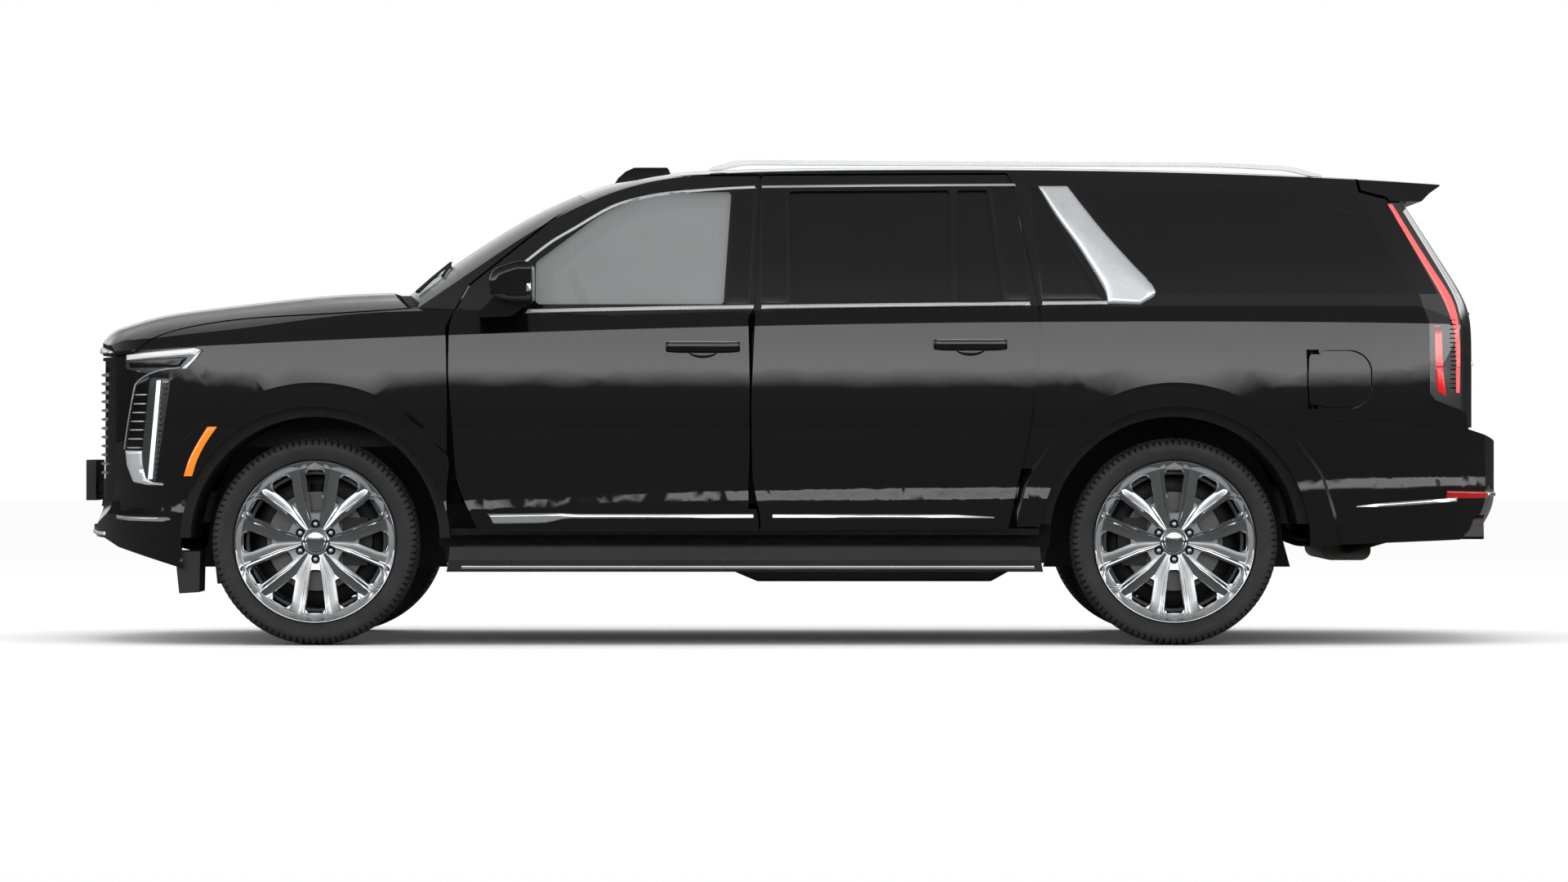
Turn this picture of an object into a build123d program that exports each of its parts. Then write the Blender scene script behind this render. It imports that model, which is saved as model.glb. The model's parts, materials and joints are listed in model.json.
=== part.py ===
"""Long-wheelbase sport utility vehicle, as an assembly of separate body, glass, cabin and running-gear pieces.

Frame: X points to the rear, Y to the vehicle's right, Z up, in millimetres. The origin is on the ground,
at the middle of the overall length and width. Every left-hand piece is made first and mirrored about Y = 0.

The outer skin is a set of smooth surfaces, each a formula: the body side, the shoulder above its crease, the
side windows, the hood, the windscreen with the roof, the nose and the tail. Each surface is thrown inwards to
make a block, the blocks are intersected into a left core, and a panel is its outline in side view, cut out of
the wall between that core and the same core moved inwards.
"""

import math
import os

from build123d import *

os.makedirs("parts", exist_ok=True)

# ---------------------------------------------------------------- driving dimensions
BODY_LENGTH = 5766.0
BODY_WIDTH = 2060.0
BODY_HEIGHT = 1942.0

TYRE_RADIUS = 410.0
TYRE_WIDTH = 284.0
TRACK = 1744.0
RIM_RADIUS = 322.0
RIM_WIDTH = 236.0
KINGPIN_OFFSET = 82.0
WHEEL_OFFSET = 28.0
SPINDLE_RADIUS = 25.0
DISC_RADIUS = 198.0
LUG_CIRCLE = 139.7

DOOR_GAP = 8.0
LID_GAP = 6.0
FIXED_GAP = 0.8
SEAT_GAP = 0.3
RUN_GAP = 0.05

LOWER_WALL = 100.0
UPPER_WALL = 60.0
SKIN = 35.0
ROOF_THICKNESS = 45.0
LIFTGATE_THICKNESS = 60.0
GLASS = 5.0
DOOR_FLANGE = 14.0
DOOR_STEP = 28.0
LEDGE_CLEARANCE = 6.0
STEP_CLEARANCE = 12.0

ARCH_CLEARANCE = 125.0
FLARE_WIDTH = 100.0
FLARE_HEIGHT = 16.0

FUEL_DOOR_THICKNESS = 8.0
FUEL_POCKET_DEPTH = 70.0

RAIL_INNER = 390.0
RAIL_OUTER = 470.0
FLOOR_THICKNESS = 25.0

RECEIVER_OUTER = 63.5
RECEIVER_INNER = 51.2
RECEIVER_LENGTH = 220.0
HITCH_PIN_RADIUS = 8.0

PLATE_HOLE_RADIUS = 3.2
PLATE_HOLES_ACROSS = 177.8
PLATE_HOLES_UP = 120.65

# ---------------------------------------------------------------- how drawn points follow the overall sizes
DRAWN_LENGTH, DRAWN_WIDTH, DRAWN_HEIGHT = 5766.0, 2060.0, 1942.0
LONG = BODY_LENGTH / DRAWN_LENGTH
WIDE = BODY_WIDTH / DRAWN_WIDTH
TALL = BODY_HEIGHT / DRAWN_HEIGHT

AXLE_Z = TYRE_RADIUS
FRONT_AXLE = -1881.0 * LONG
REAR_AXLE = 1526.0 * LONG
ARCH_RADIUS = TYRE_RADIUS + ARCH_CLEARANCE
WHEEL_Y = TRACK / 2
KINGPIN_Y = WHEEL_Y - KINGPIN_OFFSET

FAR = 4000.0


# ---------------------------------------------------------------- surfaces as formulas
def curve_through(points):
    """A natural cubic curve z(x) through the points, straight beyond its ends."""
    xs = [p[0] for p in points]
    zs = [p[1] for p in points]
    n = len(points)
    step = [xs[i + 1] - xs[i] for i in range(n - 1)]
    rise = [(zs[i + 1] - zs[i]) / step[i] for i in range(n - 1)]
    upper, right = [0.0] * n, [0.0] * n
    for i in range(1, n - 1):
        pivot = 2 * (xs[i + 1] - xs[i - 1]) - step[i - 1] * upper[i - 1]
        upper[i] = step[i] / pivot
        right[i] = (6 * (rise[i] - rise[i - 1]) - step[i - 1] * right[i - 1]) / pivot
    bend = [0.0] * n
    for i in range(n - 2, 0, -1):
        bend[i] = right[i] - upper[i] * bend[i + 1]

    def value(x):
        if x <= xs[0]:
            return zs[0] + (x - xs[0]) * (rise[0] - step[0] * bend[1] / 6)
        if x >= xs[-1]:
            return zs[-1] + (x - xs[-1]) * (rise[-1] + step[-1] * bend[-2] / 6)
        i = max(k for k in range(n - 1) if xs[k] <= x)
        a, b, h = xs[i + 1] - x, x - xs[i], step[i]
        cubic = (bend[i] * a**3 + bend[i + 1] * b**3) / (6 * h)
        line = (zs[i] / h - bend[i] * h / 6) * a + (zs[i + 1] / h - bend[i + 1] * h / 6) * b
        return cubic + line

    return value


HOOD_LINE = curve_through(
    [(-2870, 1110), (-2812, 1196), (-2780, 1236), (-2720, 1268), (-2603, 1303), (-2395, 1338)]
    + [(-2082, 1375), (-1874, 1395), (-1561, 1407), (-1200, 1410), (2900, 1410)]
)
TOP_LINE = curve_through(
    [(-1720, 1296), (-1552, 1412), (-1345, 1552), (-1138, 1684), (-931, 1790), (-724, 1864)]
    + [(-500, 1903), (-200, 1920), (300, 1927), (1000, 1925), (1700, 1909), (2300, 1880), (2700, 1852)]
)


def side_half(x, z):
    """Half-width of the body side: barrelled, pulled in at nose and tail, with a shallow valley low down."""
    nose = 310 * max(0.0, (-1900 - x) / 800) ** 4
    tail = 200 * max(0.0, (x - 1700) / 1050) ** 4
    barrel = 14 * ((z - 900) / 365) ** 2 if z > 900 else 10 * ((900 - z) / 300) ** 2
    valley = 9 * math.exp(-(((z - 635 - 0.02 * x) / 54) ** 2))
    return 1030 - nose - tail - barrel - valley


def crease_height(x):
    """Height of the shoulder crease that runs from the headlamp to the tail lamp."""
    k = x / 1000
    return 1267 + 20 * k - 6.6 * k * k


def shoulder_half(x, z):
    """Half-width of the shoulder, which leans in at about 43 degrees above the crease."""
    crease = crease_height(x)
    return side_half(x, crease) - 0.93 * (z - crease)


def window_half(x, z):
    """Half-width at the side windows, leaning in towards the roof, narrower at both ends."""
    up = z - 1340
    front = 100 * max(0.0, (-600 - x) / 900) ** 2
    rear = 90 * max(0.0, (x - 1500) / 1100) ** 2.5
    return 955 - 0.26 * up - 0.000117 * up * up - front - rear


def hood_height(x, y):
    """Height of the hood: swept back and crowned towards its sides, with a raised middle."""
    swept = x - 110 * abs(y / 800) ** 2.5
    dome = 10 / (1 + math.exp((abs(y) - 470) / 36))
    return HOOD_LINE(swept) - 75 * abs(y / 900) ** 2.5 + dome


def top_height(x, y):
    """Height of the windscreen and roof, swept back and crowned towards the sides."""
    return TOP_LINE(x - 100 * (y / 800) ** 2) - 28 * (y / 700) ** 2


def nose_x(y, z):
    """The front face: bowed in plan, with a lip low down."""
    return -2812 + 105 * abs(y / 700) ** 2.4 - 36 * math.exp(-(((z - 460) / 62) ** 2))


def tail_x(y, z):
    """The rear face of liftgate and lamps: upright to the belt, then leaning forwards."""
    lean = 0.65 * 40 * math.log1p(math.exp((z - 1345) / 40))
    return 2790 - lean - 95 * abs(y / 800) ** 2.2


def bumper_x(y, z):
    """The rear face of the rear bumper, tucked under at the bottom."""
    tuck = 60 * max(0.0, (600 - z) / 150) ** 2
    return 2883 - tuck - 105 * abs(y / 800) ** 2.2


def steps(low, high, count):
    return [low + (high - low) * i / (count - 1) for i in range(count)]


def surface(point, us, vs):
    """A smooth face through point(u, v), given in drawn millimetres and stretched to the overall sizes."""
    rows = [[point(u, v) for u in us] for v in vs]
    grid = [[Vector(x * LONG, y * WIDE, z * TALL) for x, y, z in row] for row in rows]
    return Face.make_surface_from_array_of_points(grid, tol=0.05)


def block(face, x=0.0, y=0.0, z=0.0):
    """The solid that a face sweeps along a direction."""
    return Solid.extrude(face, Vector(x, y, z))


def moved(shape, x=0.0, y=0.0, z=0.0):
    return shape.moved(Location((x, y, z)))


def mirrored(shape):
    return shape.mirror(Plane.XZ)


def both_sides(shape):
    return [shape, mirrored(shape)]


# ---------------------------------------------------------------- outlines and prisms
def outline(points):
    """A closed flat face from (u, v) or (u, v, corner radius) points, its corners rounded by arcs."""
    corners = [(p[0], p[1], p[2] if len(p) > 2 else 0.0) for p in points]
    starts, ends, arcs = [], [], []
    for i, (u, v, radius) in enumerate(corners):
        here = Vector(u, v)
        before = Vector(*corners[i - 1][:2]) - here
        after = Vector(*corners[(i + 1) % len(corners)][:2]) - here
        if radius <= 0:
            starts.append(here)
            ends.append(here)
            arcs.append(None)
            continue
        b, a = before.normalized(), after.normalized()
        half = math.radians(b.get_angle(a)) / 2
        reach = radius / math.tan(half)
        reach = min(reach, 0.49 * before.length, 0.49 * after.length)
        radius = reach * math.tan(half)
        middle = here + (b + a).normalized() * (radius / math.sin(half))
        starts.append(here + b * reach)
        ends.append(here + a * reach)
        arcs.append(middle - (b + a).normalized() * radius)
    edges = []
    for i in range(len(corners)):
        if arcs[i] is not None:
            edges.append(ThreePointArc(starts[i], arcs[i], ends[i]))
        following = starts[(i + 1) % len(corners)]
        if (following - ends[i]).length > 0.001:
            edges.append(Line(ends[i], following))
    return make_face(edges)


def drawn(points):
    """Side-view points (x, z, radius) stretched to the overall sizes."""
    return [(p[0] * LONG, p[1] * TALL, *p[2:]) for p in points]


def side_prism(face, y_low=-FAR, y_high=FAR):
    """An outline drawn in (x, z), extruded across the vehicle from y_low to y_high."""
    return extrude(Plane.XZ.offset(-y_high) * face, amount=y_high - y_low)


def front_prism(face, x_low=-FAR, x_high=FAR):
    """An outline drawn in (y, z), extruded along the vehicle from x_low to x_high."""
    return extrude(Plane.YZ.offset(x_low) * face, amount=x_high - x_low)


def plan_prism(face, z_low=-FAR, z_high=FAR):
    """An outline drawn in (x, y), extruded upwards from z_low to z_high."""
    return extrude(Plane.XY.offset(z_low) * face, amount=z_high - z_low)


def bar(x0, x1, y0, y1, z0, z1):
    """A box between two corners."""
    return moved(Box(x1 - x0, y1 - y0, z1 - z0), (x0 + x1) / 2, (y0 + y1) / 2, (z0 + z1) / 2)


def across(radius, x, z, y0, y1):
    """A cylinder along Y."""
    shape = Cylinder(radius, y1 - y0).rotate(Axis.X, 90)
    return moved(shape, x, (y0 + y1) / 2, z)


def upright(radius, x, y, z0, z1):
    """A cylinder along Z."""
    return moved(Cylinder(radius, z1 - z0), x, y, (z0 + z1) / 2)


def rod(radius, start, end):
    """A cylinder between two points."""
    a, b = Vector(*start), Vector(*end)
    return extrude(Plane(origin=a, z_dir=b - a) * Circle(radius), amount=(b - a).length)


def pipe(radius, points, bend):
    """A round bar along straight runs joined by arcs."""
    path = FilletPolyline(*points, radius=bend)
    start = Plane(origin=path @ 0, z_dir=path % 0)
    return sweep(start * Circle(radius), path=path)


def grown(face, amount):
    return offset(face, amount=amount)


def solids_of(shape):
    """The solids in a shape or a list of shapes."""
    if isinstance(shape, (list, tuple)):
        return [s for item in shape for s in solids_of(item)]
    return list(shape.solids())


def largest(shape):
    """The largest solid of a shape, without the crumbs that a cut can leave."""
    return max(shape.solids(), key=lambda s: s.volume)


written = {}


def save(name, shape):
    """Writes one node's STEP file."""
    found = solids_of(shape)
    target = found[0] if len(found) == 1 else Compound(children=[s.moved(Location()) for s in found])
    export_step(target, f"parts/{name}.step", write_pcurves=False)
    written[name] = found


# ---------------------------------------------------------------- the skin blocks and the cores
NOSE_STEPS = [-2900, -2866, -2838, -2812, -2784, -2752, -2714, -2668, -2610, -2540, -2450, -2340]
side_face = surface(lambda x, z: (x, -side_half(x, z), z), steps(-2900, 2900, 40), steps(190, 1500, 27))
shoulder_face = surface(lambda x, z: (x, -shoulder_half(x, z), z), steps(-2900, 2900, 36), steps(190, 1500, 4))
window_face = surface(lambda x, z: (x, -window_half(x, z), z), steps(-1640, 2700, 32), steps(1100, 2000, 8))
hood_face = surface(
    lambda x, y: (x, y, hood_height(x, y)), NOSE_STEPS + steps(-2220, -1300, 10), steps(-1060, 1060, 41)
)
top_face = surface(lambda x, y: (x, y, top_height(x, y)), steps(-1640, 2700, 44), steps(-1000, 1000, 15))
nose_face = surface(lambda y, z: (nose_x(y, z), y, z), steps(-1080, 1080, 19), steps(280, 1500, 29))
tail_face = surface(lambda y, z: (tail_x(y, z), y, z), steps(-1080, 1080, 15), steps(700, 1990, 32))
bumper_face = surface(lambda y, z: (bumper_x(y, z), y, z), steps(-1080, 1080, 15), steps(330, 1000, 14))

INWARDS = 2400 * WIDE
lower_left = block(side_face, y=INWARDS) & block(shoulder_face, y=1.5 * INWARDS)
under_hood = block(hood_face, z=-1150 * TALL)
under_top = block(top_face, z=-900 * TALL)
behind_nose = block(nose_face, x=5600 * LONG)
ahead_of_tail = block(tail_face, x=-4500 * LONG)
ahead_of_bumper = block(bumper_face, x=-1500 * LONG)
window_left = block(window_face, y=INWARDS)

lower_right = mirrored(lower_left)
window_right = mirrored(window_left)

belt_profile = [(-1400, 150), (-1400, 1327), (-1000, 1334), (800, 1346), (2950, 1346), (2950, 150)]
under_belt = Plane.XZ.offset(-1300 * WIDE) * make_face(
    Polyline(*[Vector(x * LONG, z * TALL) for x, z in belt_profile], close=True)
)
under_belt = extrude(under_belt, amount=2400 * WIDE)
under_lower = under_hood + under_belt
left_core = (lower_left & under_lower) + (window_left & under_top)
cabin_core = moved(lower_left, y=LOWER_WALL) + moved(window_left, y=UPPER_WALL)
flange_core = moved(left_core, y=DOOR_FLANGE)
ledge_core = moved(left_core, y=DOOR_FLANGE + LEDGE_CLEARANCE)
front_arch = across(ARCH_RADIUS, FRONT_AXLE, AXLE_Z, -FAR / 2, -RAIL_OUTER)
rear_arch = across(ARCH_RADIUS, REAR_AXLE, AXLE_Z, -FAR / 2, -RAIL_OUTER)


# ---------------------------------------------------------------- side-view outlines of the openings
front_door_outline = outline(
    drawn(
        [(-1232, 448, 12), (-1318, 640, 300), (-1352, 1080, 900), (-1348, 1290, 160), (-1275, 1425, 60)]
        + [(-725, 1865, 1300), (-119, 1868, 8), (-143, 1330, 2000), (-160, 950, 1500), (-155, 660, 400)]
        + [(-124, 505, 80), (-122, 453, 6)]
    )
)
REAR_DOOR_FRONT = [(-122, 454, 6), (-124, 505, 80), (-155, 660, 400), (-160, 950, 1500), (-143, 1330, 2000)]
rear_door_outline = outline(
    [(x + DOOR_GAP, z, r) for x, z, r in drawn(REAR_DOOR_FRONT + [(-119, 1868, 8)])]
    + drawn([(866, 1873, 8), (888, 1825, 60), (988, 1335, 250), (985, 1200, 1200), (955, 880, 900)])
    + drawn([(898, 610, 500), (866, 462, 12)])
)
front_window_outline = outline(
    drawn([(-1010, 1352, 20), (-1010, 1520, 30), (-640, 1798, 900), (-232, 1803, 15), (-262, 1352, 15)])
)
rear_window_outline = outline(drawn([(8, 1356, 15), (-2, 1806, 15), (640, 1810, 15), (640, 1358, 15)]))
vent_window_outline = outline(drawn([(668, 1358, 12), (668, 1810, 12), (788, 1811, 12), (846, 1360, 12)]))
quarter_window_outline = outline(
    drawn([(1140, 1822, 10), (2258, 1797, 25), (2486, 1394, 20), (1466, 1392, 10)])
)
fuel_door_outline = outline(drawn([(2054, 943, 85), (2054, 1163, 85), (2303, 1163, 85), (2303, 943, 85)]))


# ---------------------------------------------------------------- door hinges
HINGE_Y = -1000.0 * WIDE
FRONT_HINGE_X = -1306.0 * LONG
REAR_HINGE_X = -106.0 * LONG
HINGE_HEIGHTS = (720.0 * TALL, 1160.0 * TALL)
HINGE_HALF = 22.0
HINGE_NOTCH = 6.0
HINGE_PIN = 5.0
HINGE_BITE = 14.0
SWING_RADIUS = 59.0
SWING_DEPTH = 40.0


def door_swing(x, lowest):
    """The room that a door's front edge sweeps inside the skin."""
    low = upright(SWING_RADIUS, x, HINGE_Y, lowest, 1240 * TALL)
    high = upright(SWING_RADIUS, x, HINGE_Y, 1238 * TALL, 1350 * TALL)
    low &= bar(-FAR, FAR, -FAR, HINGE_Y + SWING_DEPTH, 0, FAR)
    return low + (high & bar(-FAR, FAR, -FAR, HINGE_Y + SWING_DEPTH + 18, 0, FAR))


def hinge_notches(x):
    """The notches at a door's front-inner corner that the body's hinge brackets stand in."""
    half = HINGE_HALF + HINGE_NOTCH
    boxes = [bar(x - 60, x + 12, HINGE_Y - 12, HINGE_Y + 120, z - half, z + half) for z in HINGE_HEIGHTS]
    return boxes[0] + boxes[1]


def hinge_bosses(x):
    """The door's bosses above and below each notch, tied to its inner panel."""
    shape = None
    for z in HINGE_HEIGHTS:
        for sign in (-1, 1):
            inner = z + sign * (HINGE_HALF + HINGE_NOTCH)
            z0, z1 = sorted((inner, inner + sign * (HINGE_BITE + 4)))
            boss = upright(10, x, HINGE_Y, z0, z1) + bar(x, x + 44, HINGE_Y - 8, HINGE_Y + 8, z0, z1)
            shape = boss if shape is None else shape + boss
    return shape


def hinge_bores(x):
    """The door's bores that turn on the pins."""
    reach = HINGE_HALF + HINGE_NOTCH + HINGE_BITE + 1
    bores = [upright(HINGE_PIN + RUN_GAP, x, HINGE_Y, z - reach, z + reach) for z in HINGE_HEIGHTS]
    return bores[0] + bores[1]


def hinge_brackets(x):
    """The body's brackets with their pins, from the pillar out to the hinge line."""
    shape = None
    for z in HINGE_HEIGHTS:
        z0, z1 = z - HINGE_HALF, z + HINGE_HALF
        reach = HINGE_HALF + HINGE_NOTCH + HINGE_BITE
        bracket = upright(HINGE_PIN, x, HINGE_Y, z - reach, z + reach) + upright(9, x, HINGE_Y, z0, z1)
        bracket += bar(x - 6, x + 6, HINGE_Y, HINGE_Y + SWING_DEPTH + 14, z0, z1)
        bracket += bar(x - 46, x + 6, HINGE_Y + SWING_DEPTH + 2, HINGE_Y + SWING_DEPTH + 14, z0, z1)
        shape = bracket if shape is None else shape + bracket
    return shape


# ---------------------------------------------------------------- doors
def door(panel_outline, windows, hinge_x):
    """A door: a thin flange to the outline, a thick inner panel set in from it, its windows and hinges."""
    shape = (side_prism(panel_outline, -FAR / 2, -400) & left_core) - cabin_core
    rim = side_prism(grown(panel_outline, 30), -FAR / 2, -400)
    rim -= side_prism(grown(panel_outline, -DOOR_STEP), -FAR / 2, -400)
    shape -= rim & flange_core
    for window in windows:
        shape -= side_prism(window, -FAR / 2, -400)
    shape = (shape - hinge_notches(hinge_x)) + hinge_bosses(hinge_x)
    return largest(shape - hinge_bores(hinge_x))


def door_opening(panel_outline):
    """What a door needs free in the body: its outline and gap at the skin, its inner panel further in."""
    outer = side_prism(grown(panel_outline, DOOR_GAP), -FAR / 2, -400) - ledge_core
    inner = side_prism(grown(panel_outline, STEP_CLEARANCE - DOOR_STEP), -FAR / 2, -400)
    return outer, inner


def pane(window, depth):
    """A door's side glass, set into its frame."""
    shape = side_prism(grown(window, -SEAT_GAP), -FAR / 2, -400)
    return (shape & moved(window_left, y=depth)) - moved(window_left, y=depth + GLASS)


front_swing = door_swing(FRONT_HINGE_X, 470 * TALL)
rear_swing = door_swing(REAR_HINGE_X, 540 * TALL)
front_door = largest(door(front_door_outline, [front_window_outline], FRONT_HINGE_X) - rear_swing)
rear_door = door(rear_door_outline, [rear_window_outline, vent_window_outline], REAR_HINGE_X)
front_pane = pane(front_window_outline, DOOR_FLANGE)
rear_panes = [pane(rear_window_outline, DOOR_FLANGE), pane(vent_window_outline, DOOR_FLANGE)]

for name, shape in (("front_door", front_door), ("rear_door", rear_door)):
    save(f"{name}_left", shape)
    save(f"{name}_right", mirrored(shape))
save("front_door_glass_left", front_pane)
save("front_door_glass_right", mirrored(front_pane))
save("rear_door_glass_left", rear_panes)
save("rear_door_glass_right", [mirrored(p) for p in rear_panes])


# ---------------------------------------------------------------- door mirrors
MIRROR_BACK, MIRROR_FRONT = -1008.0, -1180.0
MIRROR_LOW, MIRROR_HIGH = 1352.0, 1518.0
MIRROR_INNER, MIRROR_OUTER = 1046.0, 1232.0


def mirror_housing():
    """A rounded shell on an arm that stands on the door's belt."""
    face = outline(
        drawn(
            [(MIRROR_BACK, MIRROR_LOW, 20), (MIRROR_BACK, MIRROR_HIGH - 6, 26), (-1070, MIRROR_HIGH, 90)]
            + [(MIRROR_FRONT, 1480, 60), (MIRROR_FRONT, 1385, 40), (-1110, MIRROR_LOW, 40)]
        )
    )
    shell = side_prism(face, -MIRROR_OUTER * WIDE, -MIRROR_INNER * WIDE)
    ends = shell.faces().sort_by(Axis.Y)
    shell = fillet(ends[0].edges(), 30)
    arm_face = outline(
        drawn([(-1245, 1296, 10), (-1100, 1300, 10), (-1040, 1345, 10), (-1040, 1372, 8), (-1150, 1400, 30)])
    )
    arm = side_prism(arm_face, -(MIRROR_INNER + 40) * WIDE, -(MIRROR_INNER - 120) * WIDE)
    return largest((shell + arm) - moved(left_core, y=-SEAT_GAP))


mirror = mirror_housing()
save("mirror_left", mirror)
save("mirror_right", mirrored(mirror))


# ---------------------------------------------------------------- hood, fenders and nose
HOOD_EDGE = [(-2660, 1154), (-2605, 1170), (-2560, 1203), (-2500, 1234), (-2400, 1263), (-2300, 1282)] + [
    (-1900, 1313),
    (-1600, 1331),
    (-1480, 1342),
]


def edge_line(lift, start=0):
    """The side-view line between hood and fender, lifted by half the gap, and its two ends."""
    points = [Vector(x * LONG, z * TALL + lift) for x, z in HOOD_EDGE[start:]]
    return Spline(*points), points[0], points[-1]


def hood_region():
    """Side-view face above the hood's edge line."""
    line, first, last = edge_line(LID_GAP / 2)
    front, top = -2950 * LONG, 1700 * TALL
    rest = Polyline(last, Vector(last.X, top), Vector(front, top), Vector(front, first.Y), first)
    return make_face([line, rest])


def fender_region():
    """Side-view face of the fender, with the headlamp, bumper, door and hood as its neighbours."""
    line, first, last = edge_line(-LID_GAP / 2, 1)
    ahead = [(-2603, 1166), (-2347, 1181.4), (-2322.6, 1166.4), (-2380.4, 1099.4), (-2060.4, 739.4)]
    below = [(-2060.4, 330), (-1386, 330), (-1386, 414), (-1100, 414), (-1100, 1560), (-1480, 1560)]
    rest = Polyline(first, *[Vector(x * LONG, z * TALL) for x, z in ahead + below], last)
    return make_face([line, rest])


HOOD_REAR = (-1622.0, -1510.0)


def bowed_line(middle, end, shift=0.0):
    """A plan-view arc across the vehicle, its ends further back than its middle."""
    return ThreePointArc(
        Vector(end * LONG + shift, -900 * WIDE),
        Vector(middle * LONG + shift, 0),
        Vector(end * LONG + shift, 900 * WIDE),
    )


def plan_between(front, rear):
    """The plan-view face between two arcs."""
    return make_face([front, rear, Line(front @ 0, rear @ 0), Line(front @ 1, rear @ 1)])


ahead_line = Line(Vector(-3000 * LONG, -900 * WIDE), Vector(-3000 * LONG, 900 * WIDE))
hood_plan = plan_between(ahead_line, bowed_line(*HOOD_REAR))

nose_outer = lower_left & lower_right & under_hood & behind_nose
nose_inner = moved(lower_left, y=SKIN) & moved(lower_right, y=-SKIN)
nose_inner = nose_inner & moved(under_hood, z=-SKIN) & moved(behind_nose, x=SKIN)
nose_shell = nose_outer - nose_inner
HOOD_HINGE_X, HOOD_HINGE_Z, HOOD_HINGE_Y = -1470.0 * LONG, 1318.0 * TALL, 722.0 * WIDE
HOOD_ARM = 16.0
HOOD_PIN = 6.0
hood = largest(nose_shell & side_prism(hood_region()) & plan_prism(hood_plan))
hood_arm = side_prism(
    outline(
        [(HOOD_HINGE_X - 150 * LONG, HOOD_HINGE_Z - 10, 4), (HOOD_HINGE_X - 150 * LONG, HOOD_HINGE_Z + 24, 2)]
        + [(HOOD_HINGE_X - 56 * LONG, HOOD_HINGE_Z + 24, 4), (HOOD_HINGE_X - 20, HOOD_HINGE_Z + 10, 8)]
        + [(HOOD_HINGE_X + 10, HOOD_HINGE_Z + 10, 9), (HOOD_HINGE_X + 10, HOOD_HINGE_Z - 10, 9)]
    ),
    -HOOD_HINGE_Y - HOOD_ARM / 2,
    -HOOD_HINGE_Y + HOOD_ARM / 2,
)
hood_arm -= across(HOOD_PIN + RUN_GAP, HOOD_HINGE_X, HOOD_HINGE_Z, -FAR, FAR)
hood = hood + hood_arm + mirrored(hood_arm)
save("hood", largest(hood))

pillar_base_cut = outline(
    drawn([(-1268, 1418), (-1302, 1454), (-1302, 1700), (-1000, 1700), (-1000, 200), (-1232, 200)])
)
front_door_clear = side_prism(grown(front_door_outline, DOOR_GAP), -FAR / 2, -400)
flare_band = moved(lower_left, y=-FLARE_HEIGHT) - moved(lower_left, y=SKIN)


def flare(axle_x, arch):
    """The raised lip round a wheel arch, its outer edge slanting back into the body side."""
    depth = 90.0
    foot = 1000 * WIDE
    cone = Cone(ARCH_RADIUS + FLARE_WIDTH + 25, ARCH_RADIUS + FLARE_WIDTH - 45, depth).rotate(Axis.X, 90)
    cone = moved(cone, axle_x, -(foot + depth / 2 - 10), AXLE_Z)
    return (flare_band & cone) - arch


front_flare = flare(FRONT_AXLE, front_arch)
rear_flare = flare(REAR_AXLE, rear_arch)

fender_zone = side_prism(fender_region(), -FAR / 2, -300)
fender = (left_core & fender_zone) + (front_flare & fender_zone)
fender = fender - (moved(lower_left, y=SKIN) & moved(under_lower, z=-SKIN)) - front_arch
fender = fender - moved(window_left, y=UPPER_WALL - FIXED_GAP)
fender = largest(fender) - side_prism(pillar_base_cut, -FAR / 2, -300) - front_door_clear
fender = largest(fender) - front_swing
fender = largest(fender)
save("front_fenders", both_sides(fender))

# ---------------------------------------------------------------- headlamps, front bumper and grille
upper_lamp_outline = outline(
    drawn(
        [(-2652, 1098, 8), (-2655, 1144, 8), (-2608, 1164, 8), (-2348, 1180, 8), (-2324, 1166, 8)]
        + [(-2388, 1102, 10), (-2560, 1078, 20)]
    )
)
lower_lamp_outline = outline(
    drawn([(-2544, 1062, 15), (-2455, 1056, 10), (-2470, 960, 40), (-2520, 648, 10), (-2570, 650, 15)])
    + drawn([(-2586, 716, 30)])
)
grille_outline = outline(
    [
        (u * WIDE, v * TALL, r)
        for u, v, r in [(-600, 1136, 25), (-585, 1000, 200), (-500, 655, 40), (500, 655, 40)]
        + [(585, 1000, 200), (600, 1136, 25)]
    ]
)


def bumper_region():
    """Side-view face of the front bumper cover, below the hood's nose and ahead of the fender."""
    points = [(-2950, 1146), (-2660, 1146), (-2612, 1150), (-2600, 1165), (-2345, 1180), (-2324, 1167)] + [
        (-2381, 1099),
        (-2061, 739),
        (-2061, 400),
        (-2400, 300),
        (-2690, 384),
        (-2760, 420),
        (-2950, 430),
    ]
    return make_face(Polyline(*[Vector(x * LONG, z * TALL) for x, z in points], close=True))


def beside(shape_left):
    """A left piece and its mirror image, together."""
    return shape_left + mirrored(shape_left)


bumper_zone = side_prism(bumper_region())
flares_front = beside(front_flare & side_prism(bumper_region(), -FAR / 2, -300))
front_bumper = (nose_shell & bumper_zone) + (flares_front & behind_nose)
arch_pair = front_arch + mirrored(front_arch)
lamp_zone_limit = bar(-FAR, 0, -FAR / 2, -640 * WIDE, 0, FAR)
lamp_cuts = [side_prism(grown(shape, FIXED_GAP / 2)) for shape in (upper_lamp_outline, lower_lamp_outline)]
front_bumper = front_bumper - arch_pair
for cut in lamp_cuts:
    front_bumper = front_bumper - beside(cut & lamp_zone_limit)
grille_cut = front_prism(grille_outline, -FAR, -2300 * LONG)
intake_outline = outline(
    [(u * WIDE, v * TALL, 15) for u, v in [(-520, 470), (-480, 545), (480, 545), (520, 470)]]
)
front_bumper = front_bumper - grille_cut - front_prism(intake_outline, -FAR, -2300 * LONG)
front_bumper = largest(front_bumper)
save("front_bumper", front_bumper)

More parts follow.
